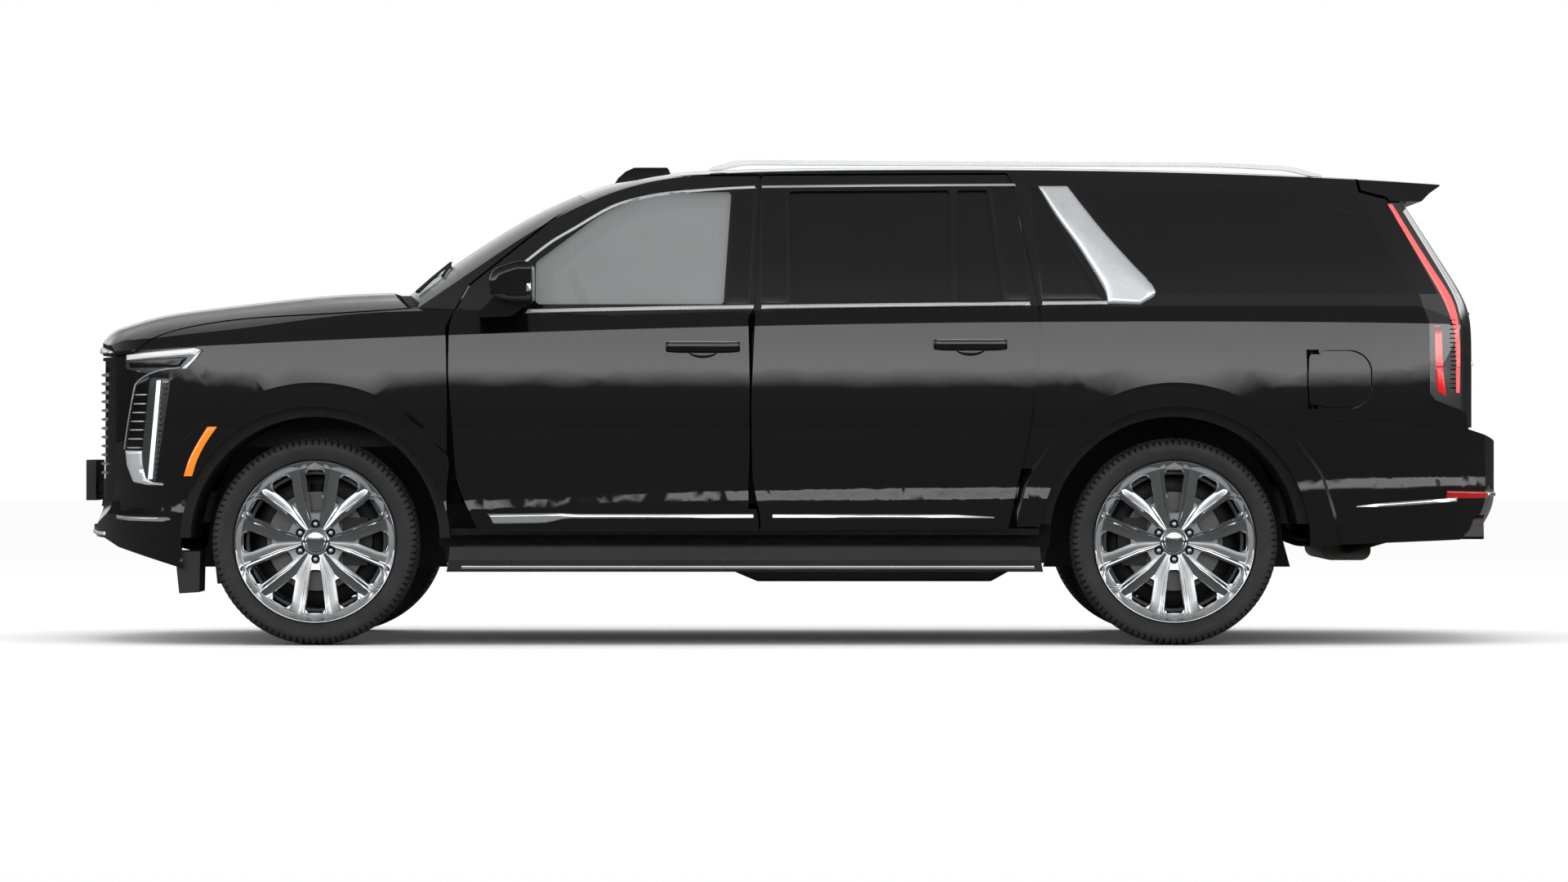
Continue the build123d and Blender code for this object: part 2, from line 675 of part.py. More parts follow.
lamp_wall = nose_shell & lamp_zone_limit
headlamps = []
for shape in (upper_lamp_outline, lower_lamp_outline):
    lens = largest(lamp_wall & side_prism(grown(shape, -FIXED_GAP / 2)))
    headlamps += both_sides(lens)
save("headlamps", headlamps)

GRILLE_DEPTH = 22.0
GRILLE_RECESS = 10.0
grille_face = grown(grille_outline, -SEAT_GAP)
grille_wall = moved(behind_nose, x=GRILLE_RECESS) - moved(behind_nose, x=GRILLE_RECESS + GRILLE_DEPTH)
grille = grille_wall & front_prism(grille_face, -FAR, -2300 * LONG)
SLOT_COUNT, SLOT_HEIGHT, SLOT_PITCH = 12, 20.0, 36.0
slot_zone = front_prism(grown(grille_outline, -26), -FAR, -2300 * LONG)
slots = [
    bar(-FAR, -2000, -700, 700, z, z + SLOT_HEIGHT)
    for z in (690 * TALL + SLOT_PITCH * i for i in range(SLOT_COUNT))
]
slot_gaps = Compound(children=slots) & slot_zone
ribs = [bar(-FAR, -2000, y - 4, y + 4, 0, FAR) for y in (-450, -300, -150, 0, 150, 300, 450)]
grille = grille - (slot_gaps - Compound(children=ribs))
grille = largest(grille)
save("grille", grille)

# ---------------------------------------------------------------- front plate bracket
BRACKET_LOW, BRACKET_HIGH = 566.0, 732.0
PLATE_HALF = 158.0
plate_x = -BODY_LENGTH / 2
bracket = bar(plate_x, plate_x + 40, -PLATE_HALF, PLATE_HALF, BRACKET_LOW * TALL, BRACKET_HIGH * TALL)
bracket += bar(plate_x, -2700 * LONG, -70, 70, 600 * TALL, 640 * TALL)
bracket -= moved(behind_nose, x=-SEAT_GAP)
bracket_mid = (BRACKET_LOW + BRACKET_HIGH) / 2 * TALL


def plate_holes(x0, x1, centre_z):
    """Four plate-screw holes along X."""
    holes = []
    for dy in (-PLATE_HOLES_ACROSS / 2, PLATE_HOLES_ACROSS / 2):
        for dz in (-PLATE_HOLES_UP / 2, PLATE_HOLES_UP / 2):
            holes.append(rod(PLATE_HOLE_RADIUS, (x0, dy, centre_z + dz), (x1, dy, centre_z + dz)))
    return Compound(children=holes)


bracket -= plate_holes(plate_x - 10, plate_x + 60, bracket_mid)
save("front_plate_bracket", largest(bracket))

# ---------------------------------------------------------------- body sides
lamp_edge = [(2262, 1868), (2275, 1803), (2383, 1775), (2583, 1396), (2506, 1396), (2540, 1285)]
body_side_outline = make_face(
    Polyline(
        *[
            Vector(x * LONG, z * TALL)
            for x, z in [(-1302, 1455), (-1302, 2050), (2256, 2050)]
            + lamp_edge
            + [(2542, 1000), (2565, 970), (2500, 906), (2400, 897), (1700, 863), (1700, 415), (-1318, 415)]
            + [(-1318, 600), (-1268, 1419)]
        ],
        close=True,
    )
)
pillar_outline = outline(
    drawn([(-1430, 415), (-1430, 1300, 20), (-1330, 1400, 20), (-1250, 1400), (-1250, 415)])
)
body_side = (side_prism(body_side_outline, -FAR / 2, -300) & left_core) - cabin_core
body_side = body_side & ahead_of_tail
hinge_pillar = moved(lower_left, y=SKIN + FIXED_GAP) - moved(lower_left, y=LOWER_WALL)
body_side += hinge_pillar & side_prism(pillar_outline, -FAR / 2, -300)
rear_flare_zone = bar(900 * LONG, 1985 * LONG, -FAR / 2, 0, 470 * TALL, FAR)
bumper_seam = side_prism(
    outline(drawn([(1600, 858), (2400, 897), (2500, 906), (2700, 1000), (2700, 0), (1600, 0)])),
    -FAR / 2,
    0,
)
body_side += (rear_flare & rear_flare_zone) - bumper_seam
for opening in (front_door_outline, rear_door_outline):
    for cut in door_opening(opening):
        body_side = body_side - cut
body_side = body_side - front_arch - rear_arch - front_swing - rear_swing
body_side = body_side + hinge_brackets(FRONT_HINGE_X) + hinge_brackets(REAR_HINGE_X)
glass_seat = side_prism(grown(quarter_window_outline, SEAT_GAP), -FAR / 2, -400)
body_side = body_side - (glass_seat - moved(window_left, y=GLASS + SEAT_GAP))
body_side = body_side - side_prism(grown(quarter_window_outline, -45), -FAR / 2, -400)
body_side_right = mirrored(largest(body_side))

FUEL_HINGE = (2070.0 * LONG, -1006.0 * WIDE, 1053.0 * TALL)
FUEL_PIN = 4.0
FUEL_KNUCKLE = 15.0
fuel_x, fuel_y, fuel_z = FUEL_HINGE
fuel_cut = side_prism(grown(fuel_door_outline, LID_GAP), -FAR / 2, -400) - moved(left_core, y=24)
fuel_pocket = side_prism(grown(fuel_door_outline, -15), -FAR / 2, -400)
fuel_pocket = fuel_pocket - moved(left_core, y=FUEL_POCKET_DEPTH)
fuel_swing = upright(28, fuel_x, fuel_y, 935 * TALL, 1171 * TALL)
fuel_arms = upright(FUEL_PIN, fuel_x, fuel_y, fuel_z - 27, fuel_z + 27)
for sign in (-1, 1):
    z0, z1 = sorted((fuel_z + sign * (FUEL_KNUCKLE + 1), fuel_z + sign * 27))
    fuel_arms += bar(fuel_x - 6, fuel_x + 6, fuel_y - 4, fuel_y + 62, z0, z1)
body_side_left = largest((body_side - fuel_cut - fuel_pocket - fuel_swing) + fuel_arms)
save("body_sides", [body_side_left, body_side_right])

fuel_door = (side_prism(fuel_door_outline, -FAR / 2, -400) & left_core) - moved(
    left_core, y=FUEL_DOOR_THICKNESS
)
fuel_door += upright(8, fuel_x, fuel_y, fuel_z - FUEL_KNUCKLE, fuel_z + FUEL_KNUCKLE)
fuel_door += bar(
    fuel_x - 5, fuel_x + 5, fuel_y - 13, fuel_y - 4, fuel_z - FUEL_KNUCKLE, fuel_z + FUEL_KNUCKLE
)
fuel_door -= upright(FUEL_PIN + RUN_GAP, fuel_x, fuel_y, fuel_z - 40, fuel_z + 40)
save("fuel_door", largest(fuel_door))

quarter_pane = (side_prism(quarter_window_outline, -FAR / 2, -400) & window_left) - moved(
    window_left, y=GLASS
)
save("quarter_glass", both_sides(largest(quarter_pane)))

# ---------------------------------------------------------------- roof, windscreen and cowl
HEADER = (-865.0, -784.0)
SCREEN_BASE = (-1553.0, -1452.0)


inside_pillars = moved(window_left, y=UPPER_WALL + SEAT_GAP) & moved(window_right, y=-UPPER_WALL - SEAT_GAP)
header_front = bowed_line(*HEADER)
header_rear = bowed_line(*HEADER, shift=SEAT_GAP)
roof_rear = Line(Vector(2256 * LONG, -900 * WIDE), Vector(2256 * LONG, 900 * WIDE))
roof_slab = under_top - moved(under_top, z=-ROOF_THICKNESS)
roof = roof_slab & inside_pillars & plan_prism(plan_between(header_rear, roof_rear))
GATE_HINGE_X, GATE_HINGE_Z = 2200.0 * LONG, 1834.0 * TALL
GATE_HINGE_Y = 480.0 * WIDE
GATE_CLEAR = 79.5
GATE_ARM = 16.0
GATE_PIN = 5.0
ROOF_EDGE = 20.0
edge_room = bar(2165 * LONG, 2300 * LONG, -560 * WIDE, 560 * WIDE, 1700 * TALL, FAR)
roof = roof - (edge_room & moved(under_top, z=-ROOF_EDGE))
for sign in (-1, 1):
    middle = sign * GATE_HINGE_Y
    for side in (-1, 1):
        y0, y1 = sorted((middle + side * (GATE_ARM / 2 + 1.5), middle + side * (GATE_ARM / 2 + 9)))
        roof += bar(GATE_HINGE_X - 12, GATE_HINGE_X + 12, y0, y1, GATE_HINGE_Z - 10, GATE_HINGE_Z + 24)
    y0, y1 = middle - GATE_ARM / 2 - 9, middle + GATE_ARM / 2 + 9
    roof += across(GATE_PIN, GATE_HINGE_X, GATE_HINGE_Z, y0, y1)
save("roof_panel", largest(roof))

screen_slab = under_top - moved(under_top, z=-GLASS - 1)
screen = screen_slab & inside_pillars & plan_prism(plan_between(bowed_line(*SCREEN_BASE), header_front))
screen = largest(screen)
save("windshield", screen)

COWL_DROP = 12.0
COWL_THICKNESS = 20.0
HOOD_SWEEP = 20.0
cowl_plate = moved(under_hood, z=-COWL_DROP) - moved(under_hood, z=-COWL_DROP - COWL_THICKNESS)
cowl_front = bowed_line(*HOOD_REAR, shift=LID_GAP + HOOD_SWEEP)
cowl_plate = cowl_plate & plan_prism(plan_between(cowl_front, bowed_line(-1384, -1385)))
screen_under = moved(under_top, z=-GLASS - 1 - SEAT_GAP)
screen_ledge = (screen_under - moved(under_top, z=-COWL_THICKNESS - 6)) & plan_prism(
    plan_between(bowed_line(*SCREEN_BASE), bowed_line(-1500, -1399))
)
screen_room = (moved(under_top, z=10) - screen_under) & plan_prism(
    plan_between(bowed_line(*SCREEN_BASE, shift=-SEAT_GAP), header_front)
)
cowl = ((cowl_plate + screen_ledge) & inside_pillars) - screen_room
for sign in (-1, 1):
    middle = sign * HOOD_HINGE_Y
    slot_x = HOOD_HINGE_X + 16
    cowl = cowl - bar(-FAR, slot_x, middle - HOOD_ARM / 2 - 5, middle + HOOD_ARM / 2 + 5, 1200 * TALL, FAR)
    for side in (-1, 1):
        y0, y1 = sorted((middle + side * (HOOD_ARM / 2 + 1.5), middle + side * (HOOD_ARM / 2 + 10)))
        cowl += bar(HOOD_HINGE_X - 12, HOOD_HINGE_X + 40, y0, y1, HOOD_HINGE_Z - 12, 1342 * TALL)
    y0, y1 = middle - HOOD_ARM / 2 - 10, middle + HOOD_ARM / 2 + 10
    cowl += across(HOOD_PIN, HOOD_HINGE_X, HOOD_HINGE_Z, y0, y1)
save("cowl_panel", largest(cowl))

# ---------------------------------------------------------------- floor and bulkhead
FLOOR_LOW, FLOOR_HIGH = 435.0, 595.0
floor_face = make_face(
    Polyline(
        *[
            Vector(x * LONG, z * TALL + lift)
            for x, z, lift in [(-1420, FLOOR_LOW, 0), (1000, FLOOR_LOW, 0), (1180, FLOOR_HIGH, 0)]
            + [(2690, FLOOR_HIGH, 0), (2690, FLOOR_HIGH, FLOOR_THICKNESS), (1165, FLOOR_HIGH, FLOOR_THICKNESS)]
            + [(985, FLOOR_LOW, FLOOR_THICKNESS), (-1400, FLOOR_LOW, FLOOR_THICKNESS)]
            + [(-1400, 1450, 0), (-1420, 1450, 0)]
        ],
        close=True,
    )
)
between_walls = moved(lower_left, y=LOWER_WALL + SEAT_GAP) & moved(lower_right, y=-LOWER_WALL - SEAT_GAP)
floor_pan = side_prism(floor_face) & between_walls 
cowl_room = bar(-1500 * LONG, -1350 * LONG, -FAR, FAR, 1150 * TALL, 1500 * TALL)
floor_pan = floor_pan - (cowl_room - moved(under_hood, z=-COWL_DROP - COWL_THICKNESS - SEAT_GAP))
for arch in (front_arch, rear_arch):
    floor_pan = floor_pan - arch - mirrored(arch)
for sign in (-1, 1):
    low_y, high_y = sorted((sign * 808 * WIDE, sign * FAR))
    floor_pan = floor_pan - bar(-FAR, -1350 * LONG, low_y, high_y, 1180 * TALL, FAR)
save("floor_pan", largest(floor_pan))

# ---------------------------------------------------------------- tail: liftgate, glass, spoiler, lamps, bumper
liftgate_outline = outline(
    [
        (u * WIDE, v * TALL, r)
        for u, v, r in [(-795, 864, 30), (-795, 1300, 200), (-775, 1390, 60), (-700, 1767.7, 10)]
        + [(700, 1767.7, 10), (775, 1390, 60), (795, 1300, 200), (795, 864, 30)]
    ]
)
gate_glass_outline = outline(
    [
        (u * WIDE, v * TALL, r)
        for u, v, r in [(-762, 1400, 30), (-697, 1757, 20), (697, 1757, 20), (762, 1400, 30)]
    ]
)
GATE_X0 = 2100 * LONG
rear_wall = ahead_of_tail - moved(ahead_of_tail, x=-LIFTGATE_THICKNESS)
liftgate = rear_wall & front_prism(liftgate_outline, GATE_X0, FAR)
glass_pocket = front_prism(grown(gate_glass_outline, SEAT_GAP), GATE_X0, FAR)
liftgate = liftgate - (glass_pocket - moved(ahead_of_tail, x=-GLASS - SEAT_GAP))
liftgate = liftgate - front_prism(grown(gate_glass_outline, -60), GATE_X0, FAR)
plate_recess = bar(2778 * LONG, FAR, -165, 165, 930 * TALL, 1090 * TALL)
liftgate = liftgate - plate_recess - plate_holes(2700 * LONG, 2820 * LONG, 1010 * TALL)
save("liftgate", largest(liftgate))

gate_glass = (front_prism(gate_glass_outline, GATE_X0, FAR) & ahead_of_tail) - moved(ahead_of_tail, x=-GLASS)
save("liftgate_glass", largest(gate_glass))

spoiler_outline = outline(
    [
        (x * LONG, z * TALL, r)
        for x, z, r in [(2258, 1990, 0), (2605, 1990, 0), (2608, 1832, 10), (2562, 1800, 20), (2530, 1768, 8)]
        + [(2402, 1768, 10), (2386, 1787, 5), (2287, 1812, 5), (2270, 1868, 5), (2258, 1875, 0)]
    ]
)
window_pair = window_left & window_right
spoiler = side_prism(spoiler_outline) & under_top & window_pair
spoiler_hollow = side_prism(outline(drawn([(2295, 1700), (2295, 1835, 10), (2440, 1815, 20), (2460, 1700)])))
spoiler_hollow = spoiler_hollow & moved(window_left, y=70) & moved(window_right, y=-70)
spoiler = spoiler - spoiler_hollow - across(GATE_CLEAR, GATE_HINGE_X, GATE_HINGE_Z, -FAR, FAR)
GOOSENECK = [(0, 0), (-11, -36), (11, -70), (58, -66), (93, -32), (88, 4)]
neck = None
for (x0, z0), (x1, z1) in zip(GOOSENECK, GOOSENECK[1:]):
    run = Vector(x1 - x0, z1 - z0)
    side = Vector(-run.Y, run.X).normalized() * 7
    start, end = Vector(x0, z0), Vector(x1, z1)
    face = make_face(Polyline(start + side, end + side, end - side, start - side, close=True))
    piece = side_prism(face, -GATE_ARM / 2, GATE_ARM / 2) + across(7, x1, z1, -GATE_ARM / 2, GATE_ARM / 2)
    neck = piece if neck is None else neck + piece
neck = neck + across(8, 0, 0, -GATE_ARM / 2, GATE_ARM / 2)
neck = neck - across(GATE_PIN + RUN_GAP, 0, 0, -GATE_ARM, GATE_ARM)
for sign in (-1, 1):
    spoiler = spoiler + moved(neck, GATE_HINGE_X, sign * GATE_HINGE_Y, GATE_HINGE_Z)
save("rear_spoiler", largest(spoiler))

lamp_outline = outline(
    drawn(
        [(2390.8, 1762), (2584.1, 1395.2), (2507.1, 1395.2), (2540.8, 1285.1), (2542.8, 1000.3)]
        + [(2565.5, 970.8), (2690, 925), (2900, 925), (2900, 1762)]
    )
)
LAMP_DEPTH = 60.0
tail_corner = left_core & ahead_of_tail
tail_inner = moved(left_core, y=LAMP_DEPTH) & moved(ahead_of_tail, x=-LAMP_DEPTH)
gate_clear = front_prism(grown(liftgate_outline, LID_GAP), GATE_X0, FAR)
tail_lamp = (side_prism(lamp_outline, -FAR / 2, -300) & tail_corner) - tail_inner - gate_clear
tail_lamp = largest(tail_lamp)
save("tail_lamps", both_sides(tail_lamp))

bumper_line = [(1600, 857), (2400, 896), (2500, 905), (2566, 968), (2690, 924), (2706, 856), (2850, 812)] + [
    (2900, 800)
]
BUMPER_SKIN = 40.0


def rear_bumper_region(drop):
    """Side-view face of the rear bumper cover, its top edge lowered by drop."""
    top = [(x * LONG, z * TALL - drop) for x, z in bumper_line]
    low = [(2950, 560), (2880, 470), (2790, 420), (2010, 392), (1600, 392)]
    if drop:
        low = [(2950, 300), (1500, 300)]
    return make_face(Polyline(*[Vector(*p) for p in top + drawn(low)], close=True))


bumper_outer = lower_left & lower_right & ahead_of_bumper & side_prism(rear_bumper_region(0))
bumper_inner = moved(lower_left, y=BUMPER_SKIN) & moved(lower_right, y=-BUMPER_SKIN)
bumper_inner = bumper_inner & moved(ahead_of_bumper, x=-BUMPER_SKIN) & side_prism(rear_bumper_region(25))
rear_flares = beside((rear_flare & side_prism(rear_bumper_region(0), -FAR / 2, -300)))
rear_bumper = (bumper_outer + rear_flares) - bumper_inner - rear_arch - mirrored(rear_arch)
RECEIVER_Z = 450.0 * TALL
receiver_window = bar(
    2500 * LONG, FAR, -RECEIVER_OUTER, RECEIVER_OUTER, 0, RECEIVER_Z + RECEIVER_OUTER
)
rear_bumper = rear_bumper - receiver_window - bar(0, 1900 * LONG, -800, 800, 0, FAR)
rear_bumper = rear_bumper - bar(1900 * LONG, 2590 * LONG, -820 * WIDE, 820 * WIDE, 800 * TALL, FAR)
gate_foot = front_prism(grown(liftgate_outline, LID_GAP), GATE_X0, FAR) & moved(ahead_of_tail, x=LID_GAP)
rear_bumper = rear_bumper - (gate_foot - moved(ahead_of_tail, x=-LIFTGATE_THICKNESS - LID_GAP))
TIP_Y, TIP_Z = 740.0, 462.0
tip_outline = outline(
    [
        (u * WIDE, v * TALL, 12)
        for u, v in [(-TIP_Y - 95, TIP_Z - 45), (-TIP_Y - 80, TIP_Z + 45), (-TIP_Y + 80, TIP_Z + 45)]
        + [(-TIP_Y + 95, TIP_Z - 45)]
    ]
)
tip_window = front_prism(grown(tip_outline, 6), 2560 * LONG, FAR)
rear_bumper = rear_bumper - tip_window - mirrored(tip_window)
rear_bumper = largest(rear_bumper)
save("rear_bumper", rear_bumper)

# ---------------------------------------------------------------- roof rails and running boards
RAIL_Y = 636.0
RAIL_WIDTH = 38.0
rail_face = outline(
    drawn([(-345, 1897, 4), (-215, 1938, 160), (1700, 1928, 3000), (2010, 1914, 300), (2172, 1868, 4)])
    + drawn([(2100, 1872, 20), (1990, 1897, 200), (1690, 1912, 3000), (-190, 1919, 300), (-280, 1897, 20)])
)
rail = side_prism(rail_face, -(RAIL_Y * WIDE + RAIL_WIDTH / 2), -(RAIL_Y * WIDE - RAIL_WIDTH / 2))
rail = largest(rail - moved(under_top, z=SEAT_GAP))
save("roof_rails", both_sides(rail))

BOARD_X0, BOARD_X1 = -1372.0, 1028.0
board_section = outline(
    [
        (u * WIDE, v * TALL, r)
        for u, v, r in [(-1000, 392, 8), (-1016, 340, 12), (-1004, 290, 12), (-850, 300, 8), (-850, 388, 6)]
    ]
)
board = front_prism(board_section, BOARD_X0 * LONG, BOARD_X1 * LONG)
for x in (-1050, -150, 750):
    board += bar(x * LONG - 30, x * LONG + 30, -860 * WIDE, -RAIL_OUTER - SEAT_GAP, 330 * TALL, 366 * TALL)
board = board - front_arch - rear_arch
save("running_boards", both_sides(largest(board)))

# ---------------------------------------------------------------- wheel arch liners
LINER_GAP = 40.0
LINER_WALL = 6.0
LINER_INNER_Y = 484.0


def liner(axle_x, bottom, outer_y):
    """A round inner fender with a flange that reaches the arch's edge."""
    inner = ARCH_RADIUS - LINER_GAP
    shell = across(inner + LINER_WALL, axle_x, AXLE_Z, -outer_y, -LINER_INNER_Y)
    shell += across(ARCH_RADIUS - SEAT_GAP, axle_x, AXLE_Z, -outer_y, -outer_y + LINER_WALL)
    shell -= across(inner, axle_x, AXLE_Z, -outer_y - 1, -LINER_INNER_Y + 1)
    return shell - bar(axle_x - 900, axle_x + 900, -FAR / 2, 0, 0, bottom)


front_liner = liner(FRONT_AXLE, 425 * TALL, 985 * WIDE)
front_liner = front_liner - bar(FRONT_AXLE - 900, FRONT_AXLE + 900, -RAIL_OUTER - 30, 0, 0, 640 * TALL)
rear_liner = liner(REAR_AXLE, 480 * TALL, 960 * WIDE)
rear_liner = rear_liner - bar(REAR_AXLE - 900, REAR_AXLE + 900, -RAIL_OUTER - 30, 0, 0, 630 * TALL)
save("wheel_arch_liners", both_sides(largest(front_liner)) + both_sides(largest(rear_liner)))

# ---------------------------------------------------------------- chassis frame
FRAME_DEEP = 120.0
front_top, middle_top, rear_top = 600 * TALL, FLOOR_LOW * TALL - SEAT_GAP, FLOOR_HIGH * TALL - SEAT_GAP
rail_profile = make_face(
    Polyline(
        *[
            Vector(x * LONG, z)
            for x, z in [(-2650, front_top), (-1640, front_top), (-1440, middle_top), (1000, middle_top)]
            + [(1180, rear_top), (2600, rear_top), (2600, rear_top - FRAME_DEEP)]
            + [(1210, rear_top - FRAME_DEEP), (1030, middle_top - FRAME_DEEP)]
            + [(-1475, middle_top - FRAME_DEEP), (-1675, front_top - FRAME_DEEP)]
            + [(-2650, front_top - FRAME_DEEP)]
        ],
        close=True,
    )
)
frame = side_prism(rail_profile, -RAIL_OUTER, -RAIL_INNER) + side_prism(rail_profile, RAIL_INNER, RAIL_OUTER)
CROSS_LOW, CROSS_HIGH = 385 * TALL, 430 * TALL
ENGINE_SEAT = 490 * TALL
for x, low, high in (
    (-2600, 500 * TALL, 580 * TALL),
    (-1950, 420 * TALL, ENGINE_SEAT),
    (-900, CROSS_LOW, CROSS_HIGH),
    (0, CROSS_LOW, CROSS_HIGH),
    (900, CROSS_LOW, CROSS_HIGH),
    (2080, 480 * TALL, 560 * TALL),
    (2530, 480 * TALL, 560 * TALL),
):
    frame += bar(x * LONG - 40, x * LONG + 40, -RAIL_OUTER, RAIL_OUTER, low, high)
frame += bar(-2690 * LONG, -2640 * LONG, -600, 600, 500 * TALL, 590 * TALL)
TOWER_Y = 590.0
TOWER_Z = AXLE_Z + 350
for sign in (-1, 1):
    low_y, high_y = sorted((sign * (RAIL_OUTER - 20), sign * TOWER_Y))
    frame += bar(FRONT_AXLE - 60, FRONT_AXLE + 60, low_y, high_y, TOWER_Z, TOWER_Z + 25)
    low_y, high_y = sorted((sign * (RAIL_INNER + 20), sign * (RAIL_OUTER + 15)))
    frame += bar(FRONT_AXLE - 60, FRONT_AXLE + 60, low_y, high_y, front_top - 20, TOWER_Z + 25)
save("chassis_frame", frame)

# ---------------------------------------------------------------- engine bay walls and radiator
APRON_Y = LINER_INNER_Y - SEAT_GAP
apron_x0, apron_x1 = -2600 * LONG, -1420 * LONG - SEAT_GAP
apron = bar(apron_x0, apron_x1, -APRON_Y, -APRON_Y + 6, TOWER_Z + 26, 1400 * TALL)
apron = apron & moved(under_hood, z=-75)
radiator = bar(
    -2600 * LONG - 24,
    -2600 * LONG + 36,
    1 - RAIL_INNER,
    RAIL_INNER - 1,
    580 * TALL + SEAT_GAP,
    1100 * TALL,
)
save("engine_bay_panels", both_sides(apron) + [radiator])

# ---------------------------------------------------------------- engine, exhaust, tank and propshaft
engine = bar(-2280 * LONG, -1680 * LONG, -270, 270, ENGINE_SEAT + SEAT_GAP, 1060 * TALL)
engine += bar(-1700 * LONG, -1080 * LONG, -140, 140, 320 * TALL, 428 * TALL)
engine += bar(-1700 * LONG, -1500 * LONG, -140, 140, 320 * TALL, 700 * TALL)
save("engine_block", engine)

TANK_TOP = CROSS_LOW - SEAT_GAP
tank = side_prism(
    outline(
        [
            (x * LONG, z, 30)
            for x, z in [(-240, TANK_TOP), (960, TANK_TOP), (930, 300 * TALL), (820, 238 * TALL)]
            + [(-130, 238 * TALL), (-230, 280 * TALL)]
        ]
    ),
    -372,
    -80,
)
save("fuel_tank", fillet(tank.edges().filter_by(Axis.X).sort_by(Axis.Z)[:2], 20))

PIPE_RADIUS = 30.0
muffler = side_prism(
    outline(
        [
            (x * LONG, z, 30)
            for x, z in [(250, 250 * TALL), (250, TANK_TOP), (860, TANK_TOP), (860, 250 * TALL)]
        ]
    ),
    90,
    370,
)
pipe_z = 325 * TALL
exhaust = muffler + rod(PIPE_RADIUS, (-1300 * LONG, 230, pipe_z), (300 * LONG, 230, pipe_z))
exhaust += pipe(
    PIPE_RADIUS,
    [
        (820 * LONG, 230, pipe_z),
        (1010 * LONG, 230, pipe_z),
        (1260 * LONG, 290, 530 * TALL),
        (1760 * LONG, 290, 530 * TALL),
        (2120 * LONG, 240, 400 * TALL),
        (2260 * LONG, 240, 400 * TALL),
    ],
    70,
)
RESONATOR_Z = 385.0 * TALL
resonator = outline(
    [
        (x * LONG, z, 40)
        for x, z in [(2160, RESONATOR_Z - 60), (2160, RESONATOR_Z + 60), (2360, RESONATOR_Z + 60)]
        + [(2360, RESONATOR_Z - 60)]
    ]
)
exhaust += side_prism(resonator, -400, 400)
for sign in (-1, 1):
    exhaust += pipe(
        PIPE_RADIUS,
        [
            (2260 * LONG, sign * 360, RESONATOR_Z),
            (2260 * LONG, sign * 520, RESONATOR_Z),
            (2440 * LONG, sign * TIP_Y * WIDE, (TIP_Z - 15) * TALL),
            (2640 * LONG, sign * TIP_Y * WIDE, TIP_Z * TALL),
        ],
        60,
    )
exhaust += bar(2070 * LONG, 2090 * LONG, 230, 250, 430 * TALL, 480 * TALL - SEAT_GAP)
tip_end = 2770.0 * LONG
tip = front_prism(tip_outline, 2610 * LONG, tip_end) - front_prism(grown(tip_outline, -5), 2640 * LONG, FAR)
exhaust += tip + mirrored(tip)
save("exhaust_system", exhaust)

SHAFT_Z = 345.0 * TALL
propshaft = rod(32, (-1075 * LONG, 0, SHAFT_Z), (REAR_AXLE - 134 - SEAT_GAP, 0, SHAFT_Z))
propshaft += rod(50, (-1075 * LONG, 0, SHAFT_Z), (-1040 * LONG, 0, SHAFT_Z))
save("propshaft", propshaft)


# ---------------------------------------------------------------- wheels
def ring_profile(points):
    """A closed (radius, outboard) profile, turned about the wheel's axis. Outboard is -Y, for a left wheel."""
    face = outline([(u, v, *r) for u, v, *r in points])
    flat = Plane(origin=(0, 0, 0), x_dir=(1, 0, 0), z_dir=(0, 0, 1))
    return revolve(flat * face.rotate(Axis.X, 180), Axis.Y)


HALF_RIM = RIM_WIDTH / 2
BEAD = RIM_RADIUS - 17


def tyre_solid():
    """The tyre's carcass and tread in one, with a crowned tread and bulged sidewalls."""
    half = TYRE_WIDTH / 2
    shoulder = TYRE_RADIUS - 9
    points = [(BEAD + SEAT_GAP, HALF_RIM - 16, 6), (RIM_RADIUS + 1, HALF_RIM - 12)]
    points += [(RIM_RADIUS + 12, HALF_RIM + 2, 8)]
    points += [((RIM_RADIUS + TYRE_RADIUS) / 2, half, 30), (shoulder, half - 14, 14)]
    points += [(TYRE_RADIUS, half - 48, 60), (TYRE_RADIUS, 0)]
    points += [(TYRE_RADIUS, -half + 48, 60), (shoulder, -half + 14, 14)]
    points += [((RIM_RADIUS + TYRE_RADIUS) / 2, -half, 30), (RIM_RADIUS + 12, -HALF_RIM - 2, 8)]
    points += [(RIM_RADIUS + 1, -HALF_RIM + 12), (BEAD + SEAT_GAP, -HALF_RIM + 16, 6)]
    points += [(BEAD + SEAT_GAP, -HALF_RIM + 32, 2), (BEAD + 20, -HALF_RIM + 48, 15)]
    points += [(TYRE_RADIUS - 26, -half + 40, 20), (TYRE_RADIUS - 22, 0)]
    points += [(TYRE_RADIUS - 26, half - 40, 20), (BEAD + 20, HALF_RIM - 48, 15)]
    points += [(BEAD + SEAT_GAP, HALF_RIM - 32, 2)]
    return ring_profile(points)


SPOKE_BACK = 52.0
FACE_AT_HUB, FACE_AT_RIM = 80.0, 104.0
HUB_FACE = WHEEL_OFFSET
CENTRE_BORE = 39.0


